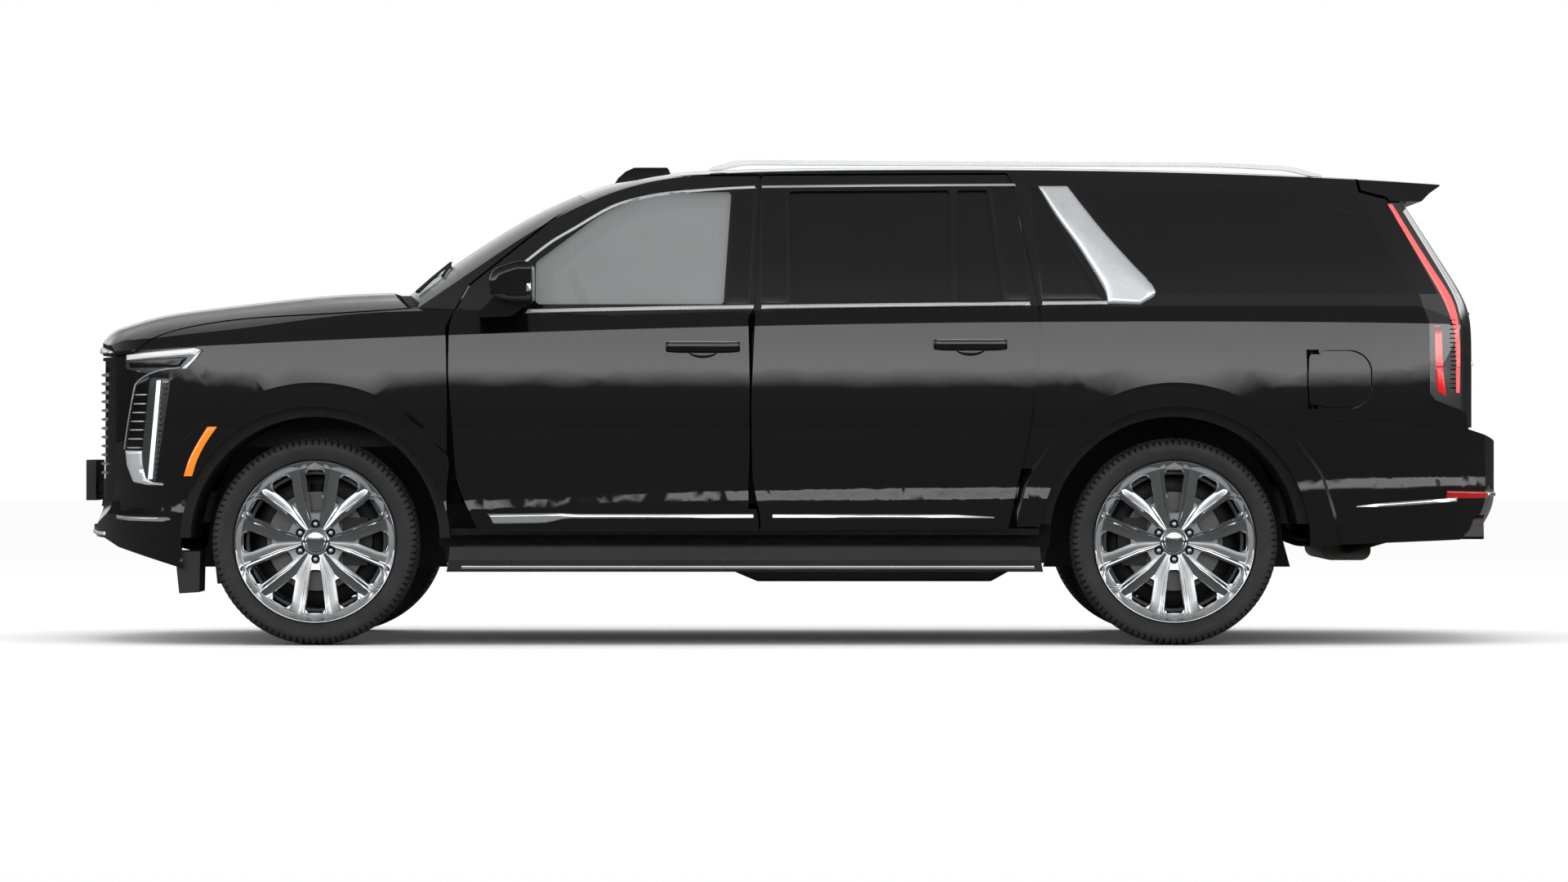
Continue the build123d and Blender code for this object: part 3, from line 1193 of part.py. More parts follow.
def wheel_solid():
    """The alloy wheel: barrel, hub and a face with twelve openings, which leave twelve spokes."""
    lip = HALF_RIM
    barrel = ring_profile(
        [(RIM_RADIUS, lip, 3), (RIM_RADIUS, lip - 11, 3), (BEAD, lip - 15, 3), (BEAD, lip - 40, 8)]
        + [(BEAD - 26, lip - 66, 20), (BEAD - 26, -lip + 66, 20), (BEAD, -lip + 36, 8)]
        + [(BEAD, -lip + 15, 3), (RIM_RADIUS - 5, -lip + 11, 3), (RIM_RADIUS - 5, -lip, 3)]
        + [(BEAD - 14, -lip, 3), (BEAD - 14, -lip + 36, 8), (BEAD - 38, -lip + 66, 20)]
        + [(BEAD - 38, lip - 66, 20), (BEAD - 16, lip - 30, 8), (BEAD - 12, lip, 3)]
    )
    face = ring_profile(
        [(20, SPOKE_BACK), (BEAD - 20, SPOKE_BACK + 8), (BEAD - 8, FACE_AT_RIM), (120, FACE_AT_HUB + 6)]
        + [(20, FACE_AT_HUB)]
    )
    hub = ring_profile(
        [(20, HUB_FACE + SEAT_GAP), (92, HUB_FACE + SEAT_GAP), (100, SPOKE_BACK + 4), (20, SPOKE_BACK + 4)]
    )
    shape = barrel + face + hub
    for k in range(6):
        slot = outline(
            [(112, -20, 10), (112, 20, 10), (268, 40, 10), (284, 28, 6), (284, -28, 6), (268, -40, 10)]
        )
        wide = outline(
            [(172, -9, 6), (172, 9, 6), (262, 44, 10), (286, 30, 8), (286, -30, 8), (262, -44, 10)]
        )
        for shape_2d, turn in ((slot, 90 + 60 * k), (wide, 60 + 60 * k)):
            shape -= side_prism(shape_2d.rotate(Axis.Z, turn), -HALF_RIM - 50, -SPOKE_BACK + 16)
        lug = (LUG_CIRCLE / 2) * Vector(1, 0).rotate(Axis.Z, 90 + 60 * k)
        shape -= across(13, lug.X, lug.Y, -HALF_RIM, 0)
    return largest(shape - across(CENTRE_BORE, 0, 0, -HALF_RIM, 0))


DISC_IN, DISC_OUT = -8.0, 22.0
HUB_IN = -44.0


def hub_solid():
    """The wheel hub with the brake disc, running on the spindle."""
    disc = ring_profile(
        [(DISC_RADIUS, DISC_IN, 2), (112, DISC_IN, 2), (112, DISC_OUT, 2), (DISC_RADIUS, DISC_OUT, 2)]
    )
    hat = ring_profile(
        [(122, DISC_IN), (122, HUB_FACE, 3), (30, HUB_FACE, 0), (30, HUB_FACE - 10), (112, HUB_FACE - 10)]
        + [(112, DISC_IN)]
    )
    barrel = ring_profile(
        [(SPINDLE_RADIUS, HUB_IN), (55, HUB_IN, 2), (55, HUB_FACE), (SPINDLE_RADIUS, HUB_FACE)]
    )
    bore = CENTRE_BORE - SEAT_GAP
    nose = ring_profile([(SPINDLE_RADIUS, HUB_FACE - 2), (bore, HUB_FACE - 2), (bore, 46), (SPINDLE_RADIUS, 46)])
    return disc + hat + barrel + nose


tyre = tyre_solid()
wheel = wheel_solid()
hub = hub_solid()
for axle_name, axle_x in (("front", FRONT_AXLE), ("rear", REAR_AXLE)):
    place = Location((axle_x, -WHEEL_Y, AXLE_Z))
    for side, flip in (("left", False), ("right", True)):
        pieces = [s.moved(place) for s in (tyre, wheel, hub)]
        if flip:
            pieces = [mirrored(s) for s in pieces]
        save(f"tyre_{axle_name}_{side}", pieces[0])
        save(f"wheel_{axle_name}_{side}", pieces[1:])


# ---------------------------------------------------------------- knuckles and suspension
UPRIGHT_IN, UPRIGHT_OUT = -108.0, -52.0
KNUCKLE_LOW, KNUCKLE_HIGH = -170.0, 200.0
PIN_RADIUS = 12.0
ARM_THICKNESS = 30.0


def upright_solid(caliper_side):
    """An upright with its spindle and brake caliper, in the left wheel's own place. Outboard is -Y."""
    shape = bar(-38, 38, -UPRIGHT_OUT, -UPRIGHT_IN, KNUCKLE_LOW, KNUCKLE_HIGH)
    shape += across(60, 0, 0, -UPRIGHT_OUT, -UPRIGHT_IN)
    shape += across(SPINDLE_RADIUS - RUN_GAP, 0, 0, -40, -UPRIGHT_IN)
    reach = DISC_RADIUS + 24
    caliper = bar(105, reach, -DISC_OUT - 20, -DISC_IN + 40, -95, 95)
    caliper = caliper & across(reach, 0, 0, -200, 200)
    caliper -= bar(0, DISC_RADIUS + 6, -DISC_OUT - 6, -DISC_IN + 6, -200, 200)
    caliper += bar(20, 160, -DISC_IN + 8, -UPRIGHT_IN, -40, 40) - across(62, 0, 0, -200, 44)
    caliper = caliper if caliper_side > 0 else caliper.mirror(Plane.YZ)
    return shape + caliper


knuckle = upright_solid(1)
knuckle += upright(PIN_RADIUS, 0, KINGPIN_OFFSET, KNUCKLE_LOW - ARM_THICKNESS - 1, KNUCKLE_LOW)
knuckle += upright(PIN_RADIUS, 0, KINGPIN_OFFSET, KNUCKLE_HIGH, KNUCKLE_HIGH + ARM_THICKNESS + 1)
knuckle = knuckle.moved(Location((FRONT_AXLE, -WHEEL_Y, AXLE_Z)))
save("steering_knuckle_left", knuckle)
save("steering_knuckle_right", mirrored(knuckle))


def wishbone(half_base, z):
    """A V-shaped arm from the chassis rail out to the kingpin."""
    root = -(RAIL_OUTER + SEAT_GAP)
    legs = [(FRONT_AXLE + s * half_base, root, FRONT_AXLE, -KINGPIN_Y) for s in (-1, 1)]
    shape = upright(34, FRONT_AXLE, -KINGPIN_Y, z, z + ARM_THICKNESS)
    for x0, y0, x1, y1 in legs:
        face = make_face(
            Polyline(
                Vector(x0 - 28, y0), Vector(x0 + 28, y0), Vector(x1 + 22, y1), Vector(x1 - 22, y1), close=True
            )
        )
        shape += plan_prism(face, z, z + ARM_THICKNESS)
    return shape - upright(PIN_RADIUS + RUN_GAP, FRONT_AXLE, -KINGPIN_Y, z - 5, z + ARM_THICKNESS + 5)


LOWER_ARM_Z = AXLE_Z + KNUCKLE_LOW - ARM_THICKNESS - 1
UPPER_ARM_Z = AXLE_Z + KNUCKLE_HIGH + 1
arm_low = wishbone(130, LOWER_ARM_Z)
arm_low += bar(
    FRONT_AXLE - 158, FRONT_AXLE + 158, -RAIL_OUTER - 30, -RAIL_OUTER - SEAT_GAP, LOWER_ARM_Z, 590 * TALL
) - bar(FRONT_AXLE - 90, FRONT_AXLE + 90, -RAIL_OUTER - 40, 0, LOWER_ARM_Z + ARM_THICKNESS, FAR)
strut = rod(
    42, (FRONT_AXLE, -600, LOWER_ARM_Z + ARM_THICKNESS - 6), (FRONT_AXLE, -560, TOWER_Z - SEAT_GAP)
) & bar(-FAR, FAR, -FAR, 0, 0, TOWER_Z - SEAT_GAP)
arm_low += strut
arm_high = wishbone(95, UPPER_ARM_Z) - rod(
    52, (FRONT_AXLE, -600, LOWER_ARM_Z + ARM_THICKNESS - 6), (FRONT_AXLE, -560, TOWER_Z)
)
save("front_suspension", both_sides(arm_low) + both_sides(arm_high))

rear_upright = upright_solid(-1).moved(Location((REAR_AXLE, -WHEEL_Y, AXLE_Z)))
HALF_SHAFT = 22.0
rear_left = rear_upright + across(HALF_SHAFT, REAR_AXLE, AXLE_Z, -WHEEL_Y + 100, -100)
rear_left += bar(
    REAR_AXLE - 60, REAR_AXLE + 60, -WHEEL_Y + 60, -300, AXLE_Z + KNUCKLE_LOW, AXLE_Z + KNUCKLE_LOW + 26
)
rear_left += bar(
    REAR_AXLE - 20, REAR_AXLE + 20, -WHEEL_Y + 60, -RAIL_OUTER - SEAT_GAP, AXLE_Z + 120, AXLE_Z + 146
)
rear_left += upright(52, REAR_AXLE, -545, AXLE_Z + KNUCKLE_LOW, FLOOR_HIGH * TALL - SEAT_GAP)
cradle = bar(REAR_AXLE - 110, REAR_AXLE + 110, -320, 320, AXLE_Z + KNUCKLE_LOW, AXLE_Z + KNUCKLE_LOW + 30)
differential = across(118, REAR_AXLE, AXLE_Z, -130, 130)
differential += rod(60, (REAR_AXLE - 134, 0, SHAFT_Z), (REAR_AXLE, 0, SHAFT_Z))
differential += bar(REAR_AXLE - 40, REAR_AXLE + 40, -60, 60, AXLE_Z + KNUCKLE_LOW + 10, AXLE_Z)
save("rear_suspension", rear_left + mirrored(rear_left) + cradle + differential)

# ---------------------------------------------------------------- hitch receiver
receiver_x1 = 2800.0 * LONG
receiver = bar(
    receiver_x1 - RECEIVER_LENGTH,
    receiver_x1,
    -RECEIVER_OUTER / 2,
    RECEIVER_OUTER / 2,
    RECEIVER_Z - RECEIVER_OUTER / 2,
    RECEIVER_Z + RECEIVER_OUTER / 2,
)
receiver += bar(2600 * LONG + SEAT_GAP, 2655 * LONG, -RAIL_OUTER, RAIL_OUTER, 430 * TALL, rear_top)
receiver -= bar(
    receiver_x1 - RECEIVER_LENGTH + 12,
    receiver_x1 + 10,
    -RECEIVER_INNER / 2,
    RECEIVER_INNER / 2,
    RECEIVER_Z - RECEIVER_INNER / 2,
    RECEIVER_Z + RECEIVER_INNER / 2,
)
HITCH_PIN_X = receiver_x1 - 62
receiver -= across(HITCH_PIN_RADIUS, HITCH_PIN_X, RECEIVER_Z, -60, 60)
save("hitch_receiver", largest(receiver))

# ---------------------------------------------------------------- cabin
WHEEL_CENTRE = Vector(-811.0 * LONG, -380.0 * WIDE, 1322.0 * TALL)
COLUMN_TILT = 24.0
column_axis = Vector(math.cos(math.radians(COLUMN_TILT)), 0, math.sin(math.radians(COLUMN_TILT)))
STEERING_RADIUS = 184.0
FLOOR_TOP = FLOOR_LOW * TALL + FLOOR_THICKNESS
REAR_FLOOR_TOP = FLOOR_HIGH * TALL + FLOOR_THICKNESS

dash_face = outline(
    [(-1400 * LONG + SEAT_GAP, 880 * TALL, 10), (-1400 * LONG + SEAT_GAP, 1290 * TALL, 20)]
    + drawn([(-1230, 1338, 60), (-1040, 1326, 50), (-985, 1250, 50)])
    + drawn([(-1030, 1100, 60), (-1110, 880, 30)])
)
dash = side_prism(dash_face, -770 * WIDE, 770 * WIDE)
console_face = outline(
    [(-1200 * LONG, FLOOR_TOP + SEAT_GAP, 10), (-1200 * LONG, 1000 * TALL, 20)]
    + drawn([(-1000, 1050, 60), (-900, 850, 80), (-150, 830, 40)])
    + [(-150 * LONG, FLOOR_TOP + SEAT_GAP, 10)]
)
dash += side_prism(console_face, -150, 150)
column_start = WHEEL_CENTRE - column_axis * 260
column_end = WHEEL_CENTRE - column_axis * 34
dash += rod(32, tuple(column_start), tuple(column_end))
dash += rod(10, tuple(column_end - column_axis * 5), tuple(WHEEL_CENTRE - column_axis * 8))
save("dashboard", dash)

wheel_plane = Plane(origin=WHEEL_CENTRE, z_dir=column_axis, x_dir=(0, 1, 0))
steering = wheel_plane * Torus(STEERING_RADIUS, 16)
steering += wheel_plane * moved(Cylinder(62, 36), z=-14)
steering += wheel_plane * moved(Box(2 * STEERING_RADIUS - 10, 44, 16), z=-6)
steering += wheel_plane * moved(Box(36, STEERING_RADIUS - 5, 16), y=-(STEERING_RADIUS - 5) / 2, z=-6)
steering -= rod(10 + RUN_GAP, tuple(WHEEL_CENTRE - column_axis * 60), tuple(WHEEL_CENTRE - column_axis * 6))
save("steering_wheel", largest(steering))

FRONT_SEAT = [(-700, 0, 10), (-330, 0, 10), (-300, 330, 30), (-215, 360, 40), (-60, 1010, 30)]
FRONT_SEAT += [(-20, 1060, 20), (0, 1190, 40), (-90, 1195, 40), (-120, 1050, 20), (-190, 960, 60)]
FRONT_SEAT += [(-345, 530, 60), (-760, 500, 60), (-800, 360, 50), (-700, 330, 30)]


def seat(shift, floor, width, middle, share=1.0):
    """A seat from its side profile, standing on the floor."""
    face = outline([(x * LONG + shift, floor + SEAT_GAP + z * share * TALL, r) for x, z, r in FRONT_SEAT])
    return side_prism(face, middle - width / 2, middle + width / 2)


front_seat = seat(0.0, FLOOR_TOP, 520, -430 * WIDE)
save("front_seats", both_sides(front_seat))
second_seat = seat(960 * LONG, FLOOR_TOP, 520, -430 * WIDE)
save("second_row_seats", both_sides(second_seat))
third_seat = seat(2010 * LONG, REAR_FLOOR_TOP, 940, 0, 0.84)
save("third_row_seat", third_seat)

print(len(written), "nodes")
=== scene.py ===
"""The looks of a long sport utility vehicle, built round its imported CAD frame."""
import json
from math import asin, cos, dist, exp, pi, radians, sin, sqrt

import bmesh
import bpy
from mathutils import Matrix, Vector
from mathutils.bvhtree import BVHTree


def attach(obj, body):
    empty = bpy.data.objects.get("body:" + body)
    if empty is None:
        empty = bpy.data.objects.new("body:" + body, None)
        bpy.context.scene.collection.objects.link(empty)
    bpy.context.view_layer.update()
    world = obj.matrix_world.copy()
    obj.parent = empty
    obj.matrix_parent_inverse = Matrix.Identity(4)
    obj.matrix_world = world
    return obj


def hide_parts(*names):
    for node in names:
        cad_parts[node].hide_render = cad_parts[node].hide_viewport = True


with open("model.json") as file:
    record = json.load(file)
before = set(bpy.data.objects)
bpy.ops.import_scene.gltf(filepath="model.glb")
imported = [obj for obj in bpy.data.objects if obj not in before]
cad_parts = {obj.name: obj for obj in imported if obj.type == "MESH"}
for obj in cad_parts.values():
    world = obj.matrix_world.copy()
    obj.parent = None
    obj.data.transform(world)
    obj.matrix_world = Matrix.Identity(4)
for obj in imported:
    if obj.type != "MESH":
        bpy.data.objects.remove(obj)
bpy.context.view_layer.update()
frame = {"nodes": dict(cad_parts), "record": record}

NODES = frame["nodes"]
SIDES = (("left", -1), ("right", 1))
MM = 0.001
BOX_LIMIT = (2882.5, 1231.5, 1937.5)
AXLES = (("front", -1881.0), ("rear", 1526.0))
WHEEL_Y, WHEEL_Z = 872.0, 410.0
DISC_RADIUS, DISC_FACE, BARREL_FACE = 0.204, 0.9195, 0.921
TURNING_PITCH = 2600.0


# ---------------------------------------------------------------- materials
class Nodes:
    """Short calls for the nodes of one tree."""

    def __init__(self, tree):
        self.tree = tree

    def add(self, kind, inputs=None, **settings):
        """A node with its settings, and its inputs set to numbers, colours or other nodes' outputs."""
        node = self.tree.nodes.new("ShaderNode" + kind)
        for key, value in settings.items():
            setattr(node, key, value)
        return self.fill(node, inputs or {})

    def fill(self, node, inputs):
        """A node's inputs set, by name or number."""
        for key, value in inputs.items():
            if isinstance(value, bpy.types.NodeSocket):
                self.tree.links.new(value, node.inputs[key])
            else:
                node.inputs[key].default_value = value
        return node

    def ramp(self, factor, stops):
        """A colour ramp over factor with (position, colour) stops."""
        node = self.add("ValToRGB", {"Fac": factor})
        while len(node.color_ramp.elements) < len(stops):
            node.color_ramp.elements.new(0.5)
        for element, (position, colour) in zip(node.color_ramp.elements, stops):
            element.position = position
            element.color = (*colour, 1.0)
        return node.outputs["Color"]

    def range(self, factor, low, high, start=0.3, end=0.7):
        """Factor from start..end mapped to low..high."""
        limits = {"Value": factor, "From Min": start, "From Max": end, "To Min": low, "To Max": high}
        return self.add("MapRange", limits).outputs["Result"]

    def math(self, operation, *values):
        """A Math node on sockets or numbers."""
        return self.add("Math", dict(enumerate(values)), operation=operation).outputs["Value"]

    def axes(self, vector):
        """The three outputs X, Y and Z of a vector."""
        return self.add("SeparateXYZ", {"Vector": vector}).outputs


class Look(Nodes):
    """A new material: its tree, its Principled shader and its object coordinates."""

    def __init__(self, name):
        self.mat = bpy.data.materials.new(name)
        self.mat.use_nodes = True
        super().__init__(self.mat.node_tree)
        self.place = self.add("TexCoord").outputs["Object"]

    def done(self, inputs):
        """The material, with its shader's inputs set."""
        self.fill(self.tree.nodes["Principled BSDF"], inputs)
        return self.mat

    def noise(self, size, detail=3.0, stretch=None):
        """A noise texture whose features are about size metres across."""
        place = self.place
        if stretch:
            place = self.add("Mapping", {"Scale": stretch, "Vector": place}).outputs["Vector"]
        return self.add("TexNoise", {"Scale": 1.0 / size, "Detail": detail, "Vector": place}).outputs["Fac"]

    def cells(self, size, output, inputs=None, **settings):
        """A Voronoi texture with cells about size metres across."""
        inputs = {"Scale": 1.0 / size, "Vector": self.place, **(inputs or {})}
        return self.add("TexVoronoi", inputs, **settings).outputs[output]

    def bump(self, height, strength, distance):
        """A bump from a height, with its distance in metres."""
        return self.add("Bump", {"Strength": strength, "Distance": distance, "Height": height}).outputs["Normal"]

    def mix(self, factor, a, b):
        """The colour output of a mix of two colours by a factor."""
        node = self.add("Mix", data_type="RGBA")
        inputs = {socket.identifier: socket for socket in node.inputs}
        for key, value in (("Factor_Float", factor), ("A_Color", a), ("B_Color", b)):
            self.tree.links.new(value, inputs[key])
        return node.outputs[2]


def tone(colour, share):
    """A colour made lighter or darker."""
    return tuple(c * share for c in colour)


def finish(name, colour, rough, metal=0.0, vary=0.15, patch_size=0.3, rough_vary=0.05, grain=0.0, grain_size=0.002,
           grain_depth=0.0003, leather=False, stretch=None, coat=0.0, sheen=0.0):
    """A procedural finish with its colour and roughness drifting over the part, and a fine surface grain."""
    look = Look(name)
    drift, scuff = look.noise(patch_size, 4.0, stretch), look.noise(patch_size * 0.23, 6.0, stretch)
    inputs = {"Base Color": look.ramp(drift, [(0.3, tone(colour, 1 - vary)), (0.7, tone(colour, 1 + vary))]),
              "Roughness": look.range(scuff, max(0.01, rough - rough_vary), min(1.0, rough + rough_vary)),
              "Metallic": metal, "Coat Weight": coat, "Coat Roughness": 0.02, "Sheen Weight": sheen}
    if leather:
        creases = look.cells(grain_size, "Distance", feature="DISTANCE_TO_EDGE")
        inputs["Normal"] = look.bump(look.range(creases, 0.0, 1.0, 0.0, 0.25), grain, grain_depth)
    elif grain:
        inputs["Normal"] = look.bump(look.noise(grain_size, 2.0, stretch), grain, grain_depth)
    return look.done(inputs)


def paint_finish():
    """Gloss black paint: a dark base with a fine fleck under a smooth clear coat."""
    look = Look("paint_gloss_black")
    fleck = [(0.35, (0.0022, 0.0022, 0.0024)), (0.8, (0.0050, 0.0050, 0.0056))]
    return look.done({
        "Base Color": look.ramp(look.noise(0.0009, 1.0), fleck),
        "Roughness": look.range(look.noise(0.5, 4.0), 0.22, 0.30), "Specular IOR Level": 0.06, "Coat Weight": 1.0,
        "Coat Roughness": 0.012, "Coat Normal": look.bump(look.noise(0.012, 2.0), 0.05, 0.0002)})


def glass_finish(name, tint, through, painted_glow_haze=0.0):
    """Tinted side glass: a share of the light passes, the rest is the pane's own tone under a polished face, with a
    flat white glow added as painted reflection.
    """
    look = Look(name)
    look.mat.surface_render_method = "BLENDED"
    # The white emission is painted reflection: the pane glows pale whatever light falls on it.
    return look.done({
        "Base Color": look.ramp(look.noise(0.35), [(0.3, tone(tint, 0.92)), (0.7, tone(tint, 1.08))]),
        "Roughness": 0.015, "IOR": 1.5, "Alpha": 1.0 - through, "Emission Color": (1.0, 1.0, 1.0, 1.0),
        "Emission Strength": painted_glow_haze})


def lens_finish(name, colour, through, rough=0.03):
    """A clear or coloured lamp lens with faint moulded flutes."""
    look = Look(name)
    wave = look.add("TexWave", {"Scale": 60.0, "Vector": look.place}, bands_direction="Z").outputs["Fac"]
    return look.done({
        "Base Color": look.ramp(wave, [(0.2, tone(colour, 0.85)), (0.8, colour)]),
        "Normal": look.bump(wave, 0.08, 0.0006), "Roughness": rough, "Coat Weight": 1.0, "Coat Roughness": 0.01,
        "Alpha": 1.0 - through})


def glow_finish(name, colour, glow, strength, cell=0.006):
    """A lit lamp strip: small optic cells, brighter in their middles."""
    look = Look(name)
    cells = look.cells(cell, "Distance", {"Randomness": 0.25})
    return look.done({
        "Base Color": look.ramp(cells, [(0.1, colour), (0.7, tone(colour, 0.72))]),
        "Emission Color": look.ramp(cells, [(0.1, glow), (0.7, tone(glow, 0.8))]),
        "Emission Strength": strength, "Roughness": 0.15, "Coat Weight": 1.0})


def lamp_cells():
    """Dark reflector cells behind a clear lens."""
    look = Look("lamp_reflector_cells")
    checks = look.add("TexChecker", {"Scale": 90.0, "Color1": (0.05, 0.052, 0.056, 1),
                                     "Color2": (0.015, 0.015, 0.017, 1), "Vector": look.place}).outputs
    return look.done({"Base Color": checks["Color"], "Normal": look.bump(checks["Fac"], 0.4, 0.001),
                      "Roughness": 0.12, "Coat Weight": 1.0})


def wheel_finish(name, axle_x):
    """Bright wheel metal, the rim barrel behind its face near black as painted shade, and inside it the turned iron of
    the brake disc, told apart by place on the wheel.
    """
    look = Look(name)
    place, math_of = look.axes(look.place), look.math
    dx = math_of("SUBTRACT", place["X"], axle_x * MM)
    dz = math_of("SUBTRACT", place["Z"], WHEEL_Z * MM)
    radius = math_of("SQRT", math_of("ADD", math_of("MULTIPLY", dx, dx), math_of("MULTIPLY", dz, dz)))
    depth = math_of("ABSOLUTE", place["Y"])
    iron = math_of("MULTIPLY", math_of("LESS_THAN", radius, DISC_RADIUS), math_of("LESS_THAN", depth, DISC_FACE))
    barrel = math_of("MULTIPLY", math_of("GREATER_THAN", radius, DISC_RADIUS),
                     math_of("LESS_THAN", depth, BARREL_FACE))
    turned = math_of("SINE", math_of("MULTIPLY", radius, TURNING_PITCH))
    smudge = look.noise(0.05, 4.0)
    bright = look.ramp(smudge, [(0.3, (0.42, 0.425, 0.435)), (0.7, (0.52, 0.525, 0.535))])
    dull = look.ramp(math_of("ADD", math_of("MULTIPLY", turned, 0.5), 0.5),
                     [(0.0, (0.10, 0.10, 0.102)), (1.0, (0.17, 0.168, 0.165))])
    # Painted shade: the barrel seen between the spokes is coloured near black, as if in shadow.
    barrel_painted_shade = look.ramp(smudge, [(0.3, (0.05, 0.05, 0.052)), (0.7, (0.075, 0.075, 0.078))])
    rough = math_of("ADD", math_of("MULTIPLY", math_of("ADD", iron, barrel), 0.26), look.range(smudge, 0.07, 0.12))
    return look.done({"Base Color": look.mix(iron, look.mix(barrel, bright, barrel_painted_shade), dull), "Roughness": rough,
                      "Metallic": 0.6})


PAINT = paint_finish()
GLOSS = finish("gloss_black_plastic", (0.0035, 0.0035, 0.0038), 0.08, rough_vary=0.03)
GRAINED = finish("grained_black_plastic", (0.016, 0.016, 0.0165), 0.55, grain=0.35, grain_size=0.0014)
LINER = finish("felted_arch_liner", (0.008, 0.008, 0.0082), 0.9, grain=0.6, grain_size=0.004, grain_depth=0.001)
CHROME = finish("bright_chrome", (0.74, 0.745, 0.755), 0.09, 0.82, vary=0.04, rough_vary=0.03, patch_size=0.15)
CHROME_SOFT = finish("satin_chrome", (0.80, 0.805, 0.82), 0.26, 0.68, vary=0.04, rough_vary=0.03, patch_size=0.2)
WHEEL_TRIM = finish("wheel_bright_metal", (0.47, 0.475, 0.485), 0.085, 1.0, vary=0.06, rough_vary=0.03, patch_size=0.05)
WHEELS = {name: wheel_finish(f"wheel_metal_{name}", x) for name, x in AXLES}
RUBBER = finish("tyre_rubber_black", (0.017, 0.017, 0.0172), 0.62, vary=0.2, patch_size=0.12, rough_vary=0.08,
                grain=0.25, grain_size=0.003, grain_depth=0.0004)
# Each pane's last number is its painted reflection glow: strong on the side glass, faint on the windscreen.
GLASS_FRONT = glass_finish("glass_light_tint", (0.16, 0.165, 0.167), 0.30, painted_glow_haze=0.11)
GLASS_SCREEN = glass_finish("glass_windscreen", (0.10, 0.104, 0.105), 0.42, painted_glow_haze=0.02)
GLASS_DARK = glass_finish("glass_privacy", (0.0045, 0.0047, 0.005), 0.07)
LENS = lens_finish("lamp_lens_clear", (0.05, 0.052, 0.056), 0.25)
LENS_SMOKE = lens_finish("lamp_lens_smoked", (0.03, 0.028, 0.029), 0.0, 0.06)
LENS_RED = lens_finish("lamp_lens_red", (0.42, 0.008, 0.008), 0.0, 0.05)
LIT_WHITE = glow_finish("lamp_lit_white", (0.85, 0.87, 0.9), (1.0, 1.0, 1.0), 0.75)
LIT_AMBER = glow_finish("lamp_amber", (0.85, 0.20, 0.01), (1.0, 0.22, 0.01), 0.62, 0.012)
LIT_SOFT = glow_finish("lamp_soft_white", (0.60, 0.61, 0.62), (0.80, 0.81, 0.84), 0.40)
LIT_RED = glow_finish("lamp_lit_red", (0.85, 0.10, 0.10), (1.0, 0.14, 0.14), 0.75)
LIT_DEEP = glow_finish("lamp_deep_red", (0.6, 0.0, 0.0), (0.8, 0.0, 0.0), 0.5)
IRON = finish("cast_iron_dark", (0.045, 0.044, 0.043), 0.6, 0.6, grain=0.5, grain_size=0.003, grain_depth=0.0006)
STEEL = finish("chassis_steel_black", (0.012, 0.012, 0.0125), 0.45, 0.2, grain=0.2, grain_size=0.006,
               grain_depth=0.0005)
EXHAUST = finish("exhaust_steel", (0.075, 0.073, 0.07), 0.38, 1.0, vary=0.25, patch_size=0.12, rough_vary=0.12,
                 stretch=(0.3, 1.0, 1.0))
LEATHER = finish("seat_leather_black", (0.014, 0.0138, 0.0142), 0.48, vary=0.18, patch_size=0.12, rough_vary=0.08,
                 grain=0.35, grain_size=0.0024, grain_depth=0.0004, leather=True, sheen=0.05)
SOFT_TRIM = finish("cabin_soft_trim", (0.018, 0.018, 0.019), 0.6, grain=0.4, grain_size=0.0022, grain_depth=0.0004,
                   leather=True)
CARPET = finish("cabin_carpet", (0.012, 0.012, 0.0125), 0.95, vary=0.3, patch_size=0.02, grain=0.9, grain_size=0.003,
                grain_depth=0.0015, sheen=0.2)
THREAD = finish("seam_thread_grey", (0.06, 0.06, 0.062), 0.7, grain=0.6, grain_size=0.001, grain_depth=0.0003)
SCREEN = finish("display_black", (0.003, 0.003, 0.0035), 0.06, coat=1.0)
PLATE = finish("plate_blank_dark", (0.012, 0.012, 0.0125), 0.4, grain=0.1, grain_size=0.004)
MIRROR_GLASS = finish("mirror_glass", (0.75, 0.77, 0.79), 0.015, 1.0, vary=0.01, rough_vary=0.005)
CELLS = lamp_cells()
SLOT_FOR = {mat.name: slot for slot, mats in {
    "body_paint": (PAINT,), "chrome": (CHROME, CHROME_SOFT, MIRROR_GLASS), "trim_black": (GLOSS, SCREEN),
    "plastic_black": (GRAINED, LINER, PLATE, RUBBER), "lamp_lens": (LIT_SOFT, LIT_WHITE, LIT_AMBER, CELLS),
    "lamp_red": (LIT_RED, LIT_DEEP, LENS_RED), "wheel_chrome": (WHEEL_TRIM,), "leather": (LEATHER, THREAD),
    "inner_plastic": (SOFT_TRIM,), "frame_steel": (STEEL,)}.items() for mat in mats}

BY_SLOT = {
    "body_paint": PAINT, "trim_black": GLOSS, "plastic_black": GRAINED, "chrome": CHROME_SOFT,
    "glass_clear": GLASS_FRONT, "glass_dark": GLASS_DARK, "lamp_lens": LENS, "lamp_red": LENS_SMOKE,
    "tyre_rubber": RUBBER, "wheel_chrome": WHEELS["front"], "cast_metal": IRON, "frame_steel": STEEL,
    "exhaust_steel": EXHAUST, "leather": LEATHER, "inner_plastic": SOFT_TRIM,
}
BY_NODE = {
    "windshield": GLASS_SCREEN, "wheel_arch_liners": LINER, "floor_pan": CARPET, "wheel_rear_left": WHEELS["rear"],
    "wheel_rear_right": WHEELS["rear"], "grille": GLOSS, "roof_rails": CHROME_SOFT,
}
SLOT_OF = {row["node"]: row["material_slot"] for row in frame["record"]["subparts"]}
for node_name, node_object in NODES.items():
    wanted = BY_NODE.get(node_name) or BY_SLOT[SLOT_OF[node_name]]
    node_object.data.materials.clear()
    node_object.data.materials.append(wanted)


